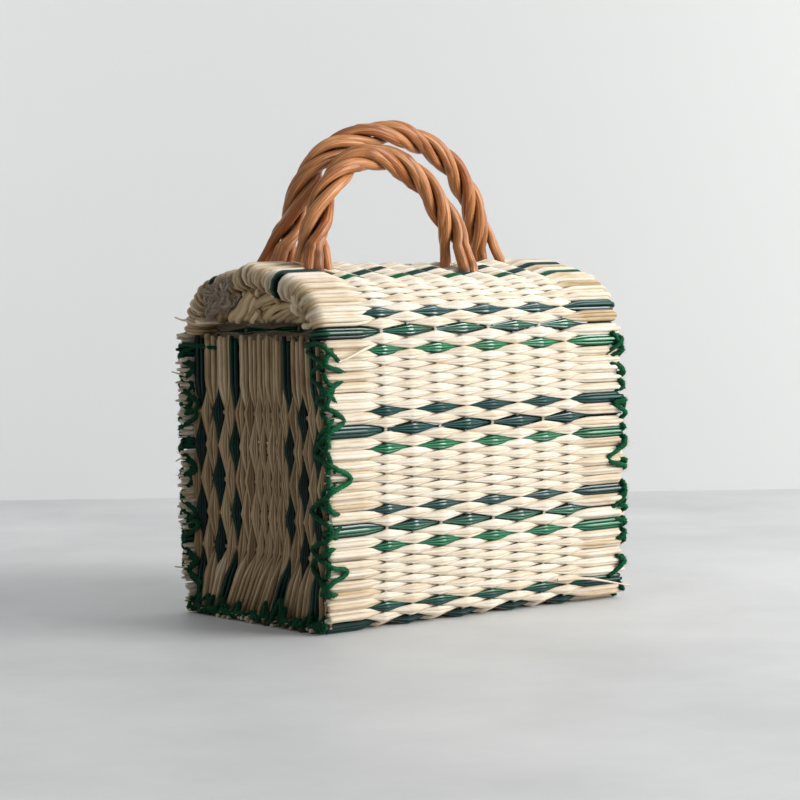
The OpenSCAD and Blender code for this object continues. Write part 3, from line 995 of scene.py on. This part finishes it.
@cache
def willow_material():
    """Satin buff willow with pale streaks, dark knots and painted shade where the rods face the twist's
    middle.
    """
    colours = bpy.context.scene.bag_colours
    material, kit, shader = new_material("willow")
    tone = kept(kit, "tone")
    streak, blotch, height = streaks(kit, tone, stretch=34.0, fineness=20.0)
    pale = 0.24 * tone + 0.54 * kit.stretched(streak, 0.47, 0.68)
    base = kit.mixed(pale, colours.willow, colours.willow_light)
    # Dark blotches and knots, and painted shade where the rods face in towards the twist's middle
    dark = 0.55 * kit.stretched(blotch, 0.52, 0.76)
    dark = dark + 0.62 * kept(kit, "knot") * kit.stretched(streak, 0.38, 0.55) + 0.95 * kept(kit, "deep")
    paint(
        kit, shader, Base_Color=kit.mixed(dark, base, colours.willow_dark), Roughness=0.25 + 0.20 * streak,
        Specular_IOR_Level=0.28, Coat_Weight=0.12, Coat_Roughness=0.2,
        Normal=bumped(kit, height, strength=0.4, distance=0.0005),
    )
    return material


# Sections and lines that the pieces follow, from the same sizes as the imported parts


def walked(start, heading, runs, step=0.0008):
    """Points along a chain of runs, each a length and a turn."""
    points = [Vector(start)]
    for run, turn in runs:
        steps = max(2, math.ceil(run / step))
        for _ in range(steps):
            heading += 0.5 * turn / steps
            stride = Vector((math.cos(heading), math.sin(heading))) * run / steps
            points.append(points[-1] + stride)
            heading += 0.5 * turn / steps
    return points


def path_length(points):
    """Length of a chain of points."""
    return sum((b - a).length for a, b in zip(points, points[1:]))


def joined(before, chain, after, spare=0.008):
    """A chain with a short way of its neighbours at its ends: (longer chain, length of the first way)."""
    head = [p for p in before[:-1] if (p - chain[0]).length < spare]
    tail = [p for p in after[1:] if (p - chain[-1]).length < spare]
    return head + chain + tail, path_length(head + chain[:1])


class Sections:
    """Sections of the bag's mats, as chains of points."""

    def __init__(self, sizes):
        self.sizes = sizes
        self.mid = sizes.bag_depth / 2 - sizes.crest
        drop = sizes.wall_height - sizes.crest
        self.lean = 2 * math.atan(2 * sizes.wall_bulge / (drop - sizes.fold_radius))
        chord = drop - sizes.fold_radius * (1 - math.sin(self.lean))
        self.wall_run = chord * self.lean / math.sin(self.lean)
        self.fold_run = sizes.fold_radius * (math.pi / 2 - self.lean)
        self.bottom_run = 2 * (self.mid - sizes.fold_radius * math.cos(self.lean))

    def body(self):
        """Down the front, under the bottom and up the back."""
        wall = (self.wall_run, 2 * self.lean)
        fold = (self.fold_run, math.pi / 2 - self.lean)
        start = (-self.mid, self.sizes.wall_height)
        flat = walked(start, 1.5 * math.pi - self.lean, [wall, fold, (self.bottom_run, 0.0), fold, wall])
        return [Vector((0.0, p.x, p.y)) for p in flat]

    def edges(self):
        """The front wall, the bottom with its folds, and the back wall."""
        chain = self.body()
        marks = [self.wall_run, self.wall_run + 2 * self.fold_run + self.bottom_run]
        parts = [[], [], []]
        gone = 0.0
        for a, b in zip(chain, chain[1:]):
            parts[sum(gone > mark for mark in marks)].append(a)
            gone += (b - a).length
        return parts

    def back_flap(self):
        """From the back fold up to the slit."""
        sizes = self.sizes
        turn = math.pi / 2 - self.lean - sizes.lid_slope
        inwards = sizes.shoulder_radius * (math.cos(self.lean) - math.sin(sizes.lid_slope))
        slope = (self.mid - sizes.slit_width / 2 - inwards) / math.cos(sizes.lid_slope)
        runs = [(sizes.shoulder_radius * turn, turn), (slope, 0.0)]
        flat = walked((self.mid, sizes.wall_height), math.pi / 2 + self.lean, runs)
        return [Vector((0.0, p.x, p.y)) for p in flat]

    def front_flap(self):
        """From the slit down to the front fold."""
        return [Vector((0.0, -p.y, p.z)) for p in reversed(self.back_flap())]

    def fold(self, side, reach):
        """A short way over the fold of the front or back flap, half of it on the wall."""
        front = (self.front_flap(), self.body())
        back = (self.body(), self.back_flap())
        before, after = front if side == "front" else back
        near = [p for p in before[:-1] if (p - after[0]).length < reach / 2]
        return near + [p for p in after if (p - after[0]).length < reach / 2]

    def left_end(self):
        """Across the left end panel, from the back to the front."""
        sizes = self.sizes
        turn = 2 * math.atan(sizes.end_dish / sizes.end_half)
        run = 2 * sizes.end_half * turn / math.sin(turn)
        start = (sizes.end_inset - sizes.mat_width / 2, sizes.end_half)
        flat = walked(start, 1.5 * math.pi + turn, [(run, -2 * turn)])
        return [Vector((p.x, p.y, 0.0)) for p in flat]

    def right_end(self):
        """Across the right end panel, from the front to the back."""
        return [Vector((-p.x, p.y, 0.0)) for p in reversed(self.left_end())]


# Each handle's half span, rise and shift, and its line as shares of the half span and the rise
HANDLES = {
    "front": SimpleNamespace(half_span=0.059, rise=0.077, shift=-0.0245, side=-1, seed=41, shares=[
        (-0.99, 0), (-0.97, 0.15), (-0.9, 0.43), (-0.78, 0.65), (-0.595, 0.835), (-0.356, 0.957), (-0.078, 1),
        (0.229, 0.953), (0.525, 0.816), (0.754, 0.627), (0.902, 0.405), (0.98, 0.166), (1, 0),
    ]),
    "back": SimpleNamespace(half_span=0.090, rise=0.092, shift=0.0, side=1, seed=42, shares=[
        (-1, 0), (-0.93, 0.19), (-0.85, 0.385), (-0.78, 0.585), (-0.7, 0.74), (-0.565, 0.866),
        (-0.363, 0.955), (-0.147, 1), (0.077, 1), (0.307, 0.93), (0.52, 0.81), (0.684, 0.634),
        (0.79, 0.445), (0.91, 0.154), (0.965, 0),
    ]),
}
# Loose stems on each body, in millimetres
STRAYS = {
    "basket": [
        [(62, -74, 17), (84, -77, 16), (104, -80, 12), (117, -82, 9)],
        [(-82, -74.5, 169), (-92, -77, 166.5), (-103, -79.5, 163), (-112, -80.5, 160.5)],
        [(-110, 71, 150), (-118, 73, 149), (-126, 74, 151)],
        [(-112, 71, 96), (-120, 72, 97), (-125, 73, 95)],
        [(108, -73, 96), (117, -76, 97), (125, -78, 99)],
        [(-110, 72, 30), (-119, 73, 28), (-127, 73, 29)],
    ],
    "front_flap": [
        [(-70, -30, 210), (-80, -24, 213.5), (-88, -15, 217), (-92, -9, 219)],
    ],
    "back_flap": [
        [(-82, 22, 211), (-74, 16, 215), (-66, 10, 219.5)],
        [(-113, 66, 184), (-119, 70, 183), (-125, 71, 185)],
    ],
}
# The yarn round a top corner: how far past the mat's end, out from the wall and up
CORNER_WRAP = [
    (-0.016, -0.029, -0.003), (-0.004, -0.024, -0.001), (0.001, -0.013, 0.0), (0.0032, -0.004, 0.0005),
    (0.0012, 0.0026, -0.002), (-0.006, 0.0020, -0.007), (-0.012, -0.002, -0.011),
]


def smooth_chain(knots, steps=8):
    """A smooth curve through points."""
    last = len(knots) - 1
    chain = []
    for i in range(last):
        a, b, c, d = knots[max(i - 1, 0)], knots[i], knots[i + 1], knots[min(i + 2, last)]
        for k in range(steps):
            t = k / steps
            square, cube = 2 * a - 5 * b + 4 * c - d, 3 * b - a - 3 * c + d
            chain.append((2 * b + (c - a) * t + square * t**2 + cube * t**3) / 2)
    return chain + [knots[last]]


def handle_line(handle, bag, sizes):
    """Middle line of a handle, from the left foot to the right foot."""
    slit = Sections(bag).back_flap()[-1]
    foot_z = slit.z - (sizes.foot_out - bag.slit_width / 2) * math.tan(bag.lid_slope) - sizes.foot_depth
    knots = []
    for across, up in handle.shares:
        x = across * handle.half_span + handle.shift
        out = sizes.foot_out + (sizes.top_out - sizes.foot_out) * up
        knots.append(Vector((x, handle.side * out, foot_z + up * handle.rise)))
    return smooth_chain(knots)


# Turning a tree into a piece


def chain_mesh(name, chains):
    """A mesh of edges along chains of points."""
    points = []
    edges = []
    for chain in chains:
        first = len(points)
        points.extend(chain)
        edges.extend((first + i, first + i + 1) for i in range(len(chain) - 1))
    mesh = bpy.data.meshes.new(name)
    mesh.from_pydata([tuple(p) for p in points], edges, [])
    return mesh


def linked(name, data):
    """A new object in the scene."""
    made = bpy.data.objects.new(name, data)
    bpy.context.collection.objects.link(made)
    return made


def grown_piece(name, chains, tree, material, **values):
    """A plain mesh object from a geometry tree on chains of points."""
    base = linked(name + "_base", chain_mesh(name + "_base", chains))
    modifier = base.modifiers.new("Grow", "NODES")
    modifier.node_group = tree
    known = labelled({**values, "material": material})
    for item in tree.interface.items_tree:
        if item.item_type == "SOCKET" and item.in_out == "INPUT" and item.name in known:
            modifier[item.identifier] = known[item.name]
    graph = bpy.context.evaluated_depsgraph_get()
    mesh = bpy.data.meshes.new_from_object(base.evaluated_get(graph))
    if not mesh.polygons:
        raise RuntimeError(f"{name} has no faces")
    mesh.name = name
    bpy.data.objects.remove(base)
    return linked(name, mesh)


def settle(piece, body, slot, *nodes):
    """Puts a finished piece on its body, in the place of its nodes."""
    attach(piece, body)
    if nodes:
        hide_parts(*nodes)


def even_rows(section, pitch):
    """Number of rows that fill a section, and their exact pitch."""
    reach = path_length(section)
    rows = round(reach / pitch)
    return rows, reach / rows


def long_mat_rows(weave, pitch, rows, first_row, first_place):
    """Tree inputs that the parts of the long mat share."""
    return {
        "rows": rows, "first_row": first_row, "first_place": first_place, "row_pitch": pitch,
        "stripe_shift": STRIPE_SHIFT, "warps": weave.front_warps, "warp_spacing": weave.warp_spacing,
        "warp_middle": 0.0, "axis": ACROSS,
    }


def woven(name, section, weave, values, **own):
    """A woven mat of rush stems."""
    values = {"stems": weave.stems, "rings": weave.rings, "wave": weave.wave, **values, **own}
    return grown_piece(name, [section], rush_weave_tree(), rush_material(), **values)


def threads(name, section, weave, values, age=0.0):
    """The warp threads of a mat."""
    values = {**values, "radius": weave.thread_radius, "wave": 0.9 * weave.wave, "age": age}
    return grown_piece(name, [section], warp_thread_tree(), cotton_material(), **values)


# Operators


class BAG_OT_long_mat(bpy.types.Operator):
    """Weave the long mat: front wall, bottom and back wall"""

    bl_idname = "bag.long_mat"
    bl_label = "Weave Long Mat"

    def execute(self, context):
        bag, weave = context.scene.bag_sizes, context.scene.weave_sizes
        sections = Sections(bag)
        total, pitch = even_rows(sections.body(), weave.row_pitch)
        section, lead = joined(sections.front_flap(), sections.body(), sections.back_flap())
        wall_rows = round((sections.wall_run + sections.fold_run) / pitch)
        half = bag.mat_width / 2
        right_overhang = 0.003
        # First row, rows, overhang at the left end and what else is special
        parts = {
            "front_wall": (0, wall_rows, 0.001, {}),
            # The bottom's cut ends are painted darker tan, partly older rush and partly painted shade near
            # the floor
            "bottom": (wall_rows, total - 2 * wall_rows, 0.0035, {"rings": 37, "end_age": 0.8}),
            "back_wall": (total - wall_rows, wall_rows, 0.005, {"rings": 47}),
        }
        for seed, (name, (first, rows, overhang, own)) in enumerate(parts.items(), 1):
            piece = woven(
                name + "_weave", section, weave,
                long_mat_rows(weave, pitch, rows, first, lead + (first + 0.5) * pitch),
                low_end=-half - overhang, high_end=half + right_overhang,
                bulge=0.012, sag=0.0006, bunch_pull=0.015, seed=seed, **own,
            )
            settle(piece, "basket", "rush", "body_mat")
        values = long_mat_rows(weave, pitch, total, 0, lead + 0.5 * pitch)
        settle(threads("long_mat_warps", section, weave, values), "basket", "rush")
        return DONE


class BAG_OT_end_panels(bpy.types.Operator):
    """Weave the two end panels"""

    bl_idname = "bag.end_panels"
    bl_label = "Weave End Panels"

    def execute(self, context):
        bag, weave = context.scene.bag_sizes, context.scene.weave_sizes
        sections = Sections(bag)
        warps_down = 0.003
        for side, section, seed in (("left", sections.left_end(), 11), ("right", sections.right_end(), 12)):
            columns, pitch = even_rows(section, weave.column_pitch)
            values = {
                "rows": columns, "first_row": 0, "first_place": 0.5 * pitch, "row_pitch": pitch,
                "stripe_shift": END_STRIPE_SHIFT, "stripe_gap": 0.06, "warps": weave.end_warps,
                "warp_spacing": weave.warp_spacing, "warp_middle": 0.5 * bag.wall_height - warps_down,
                "axis": UPRIGHT,
            }
            # The end panels are painted brown, partly older rush and partly painted shade; their free ends
            # are painted paler, a painted light from the floor
            piece = woven(
                side + "_end_weave", section, weave, values,
                low_end=bag.end_low, high_end=bag.end_top, bulge=0.030, lean=0.55, sag=0.0014,
                age=1.0, end_age=-0.32, brightness=0.35, stems=5, fullness=1.08, free_fullness=0.36,
                variety=1.5, stem_spread=1.66, stem_girth=1.24, crown=0.45, tip_narrowing=0.45,
                rings=49, seed=seed,
            )
            settle(piece, "basket", "rush", side + "_end_panel")
            # The end panels' warps are painted darker too, partly painted shade
            settle(threads(side + "_end_warps", section, weave, values, age=0.8), "basket", "rush")
        return DONE


class BAG_OT_flaps(bpy.types.Operator):
    """Weave the two lid flaps"""

    bl_idname = "bag.flaps"
    bl_label = "Weave Lid Flaps"

    def execute(self, context):
        bag, weave = context.scene.bag_sizes, context.scene.weave_sizes
        sections = Sections(bag)
        wall = sections.body()
        body_rows, _ = even_rows(wall, weave.row_pitch)
        front, back = sections.front_flap(), sections.back_flap()
        rows, pitch = even_rows(back, weave.row_pitch)
        self.weave_flap("front", front, joined([], front, wall), 21, rows, pitch, -rows, 0)
        self.weave_flap("back", back, joined(wall, back, []), 22, rows, pitch, body_rows, body_rows)
        return DONE

    def weave_flap(self, side, section, longer, seed, rows, pitch, first_row, fold_row):
        """One flap with its warps, its fold and its borders."""
        bag, weave = bpy.context.scene.bag_sizes, bpy.context.scene.weave_sizes
        flap = side + "_flap"
        way, lead = longer
        edge_inset, turned_in = 0.004, 0.026
        turned = 0.5 * bag.mat_width - edge_inset
        values = long_mat_rows(weave, pitch, rows, first_row, lead + 0.5 * pitch)
        # The flap's free ends and turned-under tips are painted darker: older rush and painted shade under
        # the lid's ends
        piece = woven(
            flap + "_weave", way, weave, values,
            low_end=-turned - turned_in, high_end=turned + turned_in, turn_start=turned, turn_radius=0.0040,
            bunch_length=2.0 * pitch, bunch_pull=0.35, sag=0.0022, end_age=0.28, turn_age=0.75,
            end_rings=0.34, rings=79, seed=seed,
        )
        settle(piece, flap, "rush", flap)
        settle(threads(flap + "_warps", way, weave, values), flap, "rush")

        fold_rows = 4
        sections = Sections(bag)
        values = long_mat_rows(weave, pitch, fold_rows, fold_row - fold_rows // 2, 0.5 * pitch)
        hinge = threads(side + "_fold_warps", sections.fold(side, fold_rows * pitch), weave, values)
        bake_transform(hinge)

        over_wall, tuck_inset, roll_inset = 0.004, 0.005, 0.014
        for end, word in ((-1.0, "left"), (1.0, "right")):
            tucks = {
                "count": 16, "layers": 2, "loop_radius": 0.0032, "stem_radius": 0.0019, "side": end,
                "edge": end * (0.5 * bag.mat_width - tuck_inset),
            }
            roll = {"hinge_first": float(side == "back"), "edge": end * (0.5 * bag.mat_width - roll_inset)}
            for kind, tree, own in (("tucks", tucked_ends_tree, tucks), ("border", rolled_border_tree, roll)):
                piece = grown_piece(
                    f"{flap}_{word}_{kind}", [section], tree(), rush_material(),
                    lowest=bag.wall_height + over_wall, seed=seed + 5, **own,
                )
                settle(piece, flap, "rush")


class BAG_OT_seams(bpy.types.Operator):
    """Sew the two ends with green yarn"""

    bl_idname = "bag.seams"
    bl_label = "Sew Seams"

    def execute(self, context):
        bag, seam = context.scene.bag_sizes, context.scene.seam_sizes
        front, ground, back = Sections(bag).edges()
        # Edge, stitches, whether the first starts at the wall, and the shares of the two reaches
        runs = {
            "front": (front, 4, 0, 1.0, 1.0),
            "front_cross": (front, 5, 1, 1.0, 1.0),
            "front_whip": (front, 6, 0, 0.25, 0.5),
            "back": (back, 5, 0, 1.0, 0.55),
            "back_cross": (back, 4, 1, 1.0, 0.55),
            "back_whip": (back, 6, 0, 0.25, 0.3),
            "ground": (ground, 10, 0, 0.0, 0.62),
            "ground_cross": (ground, 9, 1, 0.0, 0.46),
        }
        # Side, share of the reach on the wall, and first seed of each end
        ends = {"left": (-1.0, 1.0, 31), "right": (1.0, 0.65, 81)}
        for name, (side, wall_share, first_seed) in ends.items():
            for number, (word, (section, stitches, start, on_wall, on_end)) in enumerate(runs.items()):
                on_ground = word.startswith("ground")
                piece = grown_piece(
                    f"{name}_{word}_yarn", [section], seam_stitch_tree(), yarn_material(),
                    stitches=stitches, start_at_wall=start, on_ground=float(on_ground), side=side,
                    stitch_drop=0.0 if on_ground else seam.stitch_drop, half_width=bag.mat_width / 2,
                    wall_reach=on_wall * seam.wall_reach * wall_share, end_reach=on_end * seam.end_reach,
                    lift=bag.crest + (0.6 + 0.5 * start) * seam.yarn_radius,
                    unevenness=0.75 if on_ground else 0.45, radius=seam.yarn_radius, seed=first_seed + number,
                )
                settle(piece, "basket", "yarn", name + "_seam_yarn")
        return DONE


class BAG_OT_corner_wraps(bpy.types.Operator):
    """Wrap yarn round the four top corners"""

    bl_idname = "bag.corner_wraps"
    bl_label = "Wrap Corners"

    def execute(self, context):
        bag, seam = context.scene.bag_sizes, context.scene.seam_sizes
        half, mid = bag.mat_width / 2, bag.bag_depth / 2
        below_fold, uneven = 0.0065, 0.0015
        for end, name in ((-1, "left"), (1, "right")):
            for side, word in ((-1, "front"), (1, "back")):
                top = bag.wall_height - below_fold + uneven * side * end
                chain = []
                for past, out, up in CORNER_WRAP:
                    chain.append(Vector((end * (half + past), side * (mid + out), top + up)))
                piece = grown_piece(
                    f"{name}_{word}_wrap", [chain], loose_yarn_tree(), yarn_material(),
                    radius=0.9 * seam.yarn_radius, seed=61,
                )
                settle(piece, "basket", "yarn")
        return DONE


class BAG_OT_loose_ends(bpy.types.Operator):
    """Add torn fibre in the lid's border and a few loose stems"""

    bl_idname = "bag.loose_ends"
    bl_label = "Add Loose Ends"

    def execute(self, context):
        edge = -context.scene.bag_sizes.mat_width / 2
        turns, inset, bulge = 96, 0.0005, 0.0030
        middle_y, half_length = 0.0325, 0.018
        middle_z, half_height, slope = 0.1975, 0.0085, 0.34
        chain = []
        for k in range(turns):
            y = middle_y + half_length * math.sin(2.39 * k) * math.cos(0.31 * k)
            rise = math.sin(1.71 * k + 0.6)
            z = middle_z + half_height * rise - slope * (y - middle_y)
            x = edge + inset - bulge * max(rise, 0.0) + bulge * math.sin(3.3 * k)
            chain.append(Vector((x, y, z)))
        piece = grown_piece(
            "torn_fibre", [chain], loose_yarn_tree(), torn_material(),
            radius=0.0013, hair_density=300000.0, hair_length=0.0042, seed=71,
        )
        settle(piece, "back_flap", "rush")
        for body, chains in STRAYS.items():
            lines = [[Vector(p) * MM for p in chain] for chain in chains]
            piece = grown_piece(body + "_strays", lines, stray_stem_tree(), rush_material(), seed=72)
            settle(piece, body, "rush")
        return DONE


class BAG_OT_handles(bpy.types.Operator):
    """Twist the two willow handles"""

    bl_idname = "bag.handles"
    bl_label = "Twist Handles"

    def execute(self, context):
        bag, sizes = context.scene.bag_sizes, context.scene.handle_sizes
        names = ("rod_radius", "wind_radius", "foot_ring", "splay_length", "twist_pitch")
        values = {name: getattr(sizes, name) for name in names}
        for side, handle in HANDLES.items():
            line = handle_line(handle, bag, sizes)
            piece = grown_piece(
                side + "_handle", [line], twisted_willow_tree(), willow_material(), seed=handle.seed, **values
            )
            settle(piece, side + "_flap", "willow", *(f"{side}_strand_{k}" for k in (1, 2, 3)))
        return DONE


class BAG_OT_stage(bpy.types.Operator):
    """Set up the floor, the light and the camera"""

    bl_idname = "bag.stage"
    bl_label = "Set Up Stage"

    def execute(self, context):
        build_floor()
        build_lights()
        build_camera()
        return DONE


# Stage


VIEW_AZIMUTH = math.radians(-38.5)
WALL_AWAY, FLOOR_HALF, FLOOR_NEAR, WALL_TOP = 0.73, 6.0, 4.0, 4.0


def build_floor():
    """A pale floor that meets a pale wall."""
    floor_material, kit, shader = new_material("pale_floor")
    spot = kit.out(kit.node("ShaderNodeTexCoord"), "Object")
    cloud = kit.stretched(kit.texture(spot, scale=5.0, detail=6.0, roughness=0.6), 0.35, 0.65)
    paint(kit, shader, Base_Color=kit.mixed(cloud, (0.55, 0.56, 0.565), (0.65, 0.66, 0.665)), Roughness=0.55)
    wall_material, kit, shader = new_material("pale_wall")
    paint(kit, shader, Base_Color=(0.72, 0.73, 0.73, 1.0), Roughness=0.9)
    look = Vector((-math.sin(VIEW_AZIMUTH), math.cos(VIEW_AZIMUTH), 0.0))
    aside = Vector((look.y, -look.x, 0.0)) * FLOOR_HALF
    back, near, up = look * WALL_AWAY, look * -FLOOR_NEAR, Vector((0.0, 0.0, WALL_TOP))
    sheets = {
        "floor": (floor_material, [near - aside, near + aside, back + aside, back - aside]),
        "wall": (wall_material, [back - aside, back + aside, back + aside + up, back - aside + up]),
    }
    for name, (material, corners) in sheets.items():
        mesh = bpy.data.meshes.new(name)
        mesh.from_pydata([tuple(c) for c in corners], [], [(0, 1, 2, 3)])
        mesh.materials.append(material)
        linked(name, mesh)


def area_light(name, place, target, size, power, tint=(1.0, 1.0, 1.0)):
    """A square soft light."""
    data = bpy.data.lights.new(name, "AREA")
    data.size = size
    data.energy = power
    data.color = tint
    made = linked(name, data)
    made.location = place
    made.rotation_mode = "QUATERNION"
    made.rotation_quaternion = (Vector(target) - Vector(place)).to_track_quat("-Z", "Y")


def build_lights():
    """Window light from the front right and a soft room."""
    target = (0.0, 0.0, 0.13)
    area_light("window", (1.25, -1.60, 0.90), target, size=1.5, power=60.0, tint=(1.0, 0.985, 0.96))
    area_light("sky", (0.5, -0.1, 2.2), target, size=1.8, power=8.5, tint=(0.97, 0.985, 1.0))
    area_light("wall", (-0.75, 0.22, 0.55), (-0.75, 1.2, 0.65), size=0.7, power=5.0)
    world = bpy.data.worlds.new("room")
    world.use_nodes = True
    background = world.node_tree.nodes["Background"].inputs
    background["Color"].default_value = (0.86, 0.88, 0.90, 1.0)
    background["Strength"].default_value = 0.40
    bpy.context.scene.world = world
    bpy.context.scene.view_settings.view_transform = "Standard"


def build_camera():
    """The camera of the photograph, fitted to its perspective."""
    elevation, roll = math.radians(2.7), math.radians(-0.82)
    distance, pixels, frame_pixels = 1.643, 2600.0, 800.0
    shift_right, shift_up = -3.7, -31.5
    target = Vector((0.0, 0.0, 0.15))
    flat = math.cos(elevation)
    back = Vector((math.sin(VIEW_AZIMUTH) * flat, -math.cos(VIEW_AZIMUTH) * flat, math.sin(elevation)))
    data = bpy.data.cameras.new("camera")
    data.sensor_fit = "AUTO"
    data.sensor_width = 36.0
    data.lens = data.sensor_width * pixels / frame_pixels
    data.shift_x = shift_right / frame_pixels
    data.shift_y = shift_up / frame_pixels
    data.clip_start = 0.05
    data.clip_end = 30.0
    made = linked("camera", data)
    turned = (-back).to_track_quat("-Z", "Y").to_matrix() @ Matrix.Rotation(roll, 3, "Z")
    made.matrix_world = Matrix.Translation(target + back * distance) @ turned.to_4x4()
    bpy.context.scene.camera = made


class BAG_PT_panel(bpy.types.Panel):
    """Lists the bag's sizes, colours and steps"""

    bl_idname = "BAG_PT_panel"
    bl_label = "Woven Box Bag"
    bl_space_type = "VIEW_3D"
    bl_region_type = "UI"
    bl_category = "Box Bag"

    def draw(self, context):
        for step in STEPS:
            self.layout.operator(step.bl_idname)
        for group in PROPERTIES:
            box = self.layout.box()
            values = getattr(context.scene, group)
            for name in values.bl_rna.properties.keys():
                if name not in {"rna_type", "name"}:
                    box.prop(values, name)


PROPERTIES = {
    "bag_sizes": BagSizes,
    "weave_sizes": WeaveSizes,
    "seam_sizes": SeamSizes,
    "handle_sizes": HandleSizes,
    "bag_colours": BagColours,
}
STEPS = (
    BAG_OT_stage,
    BAG_OT_long_mat,
    BAG_OT_end_panels,
    BAG_OT_flaps,
    BAG_OT_seams,
    BAG_OT_corner_wraps,
    BAG_OT_loose_ends,
    BAG_OT_handles,
)


def register():
    """Registers the classes and hangs the properties on the scene."""
    for group in PROPERTIES.values():
        bpy.utils.register_class(group)
    for name, group in PROPERTIES.items():
        setattr(bpy.types.Scene, name, bpy.props.PointerProperty(type=group))
    for made in (*STEPS, BAG_PT_panel):
        bpy.utils.register_class(made)


def unregister():
    """Takes everything back."""
    for made in reversed((*STEPS, BAG_PT_panel)):
        bpy.utils.unregister_class(made)
    for name in PROPERTIES:
        delattr(bpy.types.Scene, name)
    for group in reversed(tuple(PROPERTIES.values())):
        bpy.utils.unregister_class(group)


def main():
    """Builds the bag and the stage."""
    register()
    bpy.ops.bag.stage()
    bpy.ops.bag.long_mat()
    bpy.ops.bag.end_panels()
    bpy.ops.bag.flaps()
    bpy.ops.bag.seams()
    bpy.ops.bag.corner_wraps()
    bpy.ops.bag.loose_ends()
    bpy.ops.bag.handles()


if __name__ == "__main__":
    main()
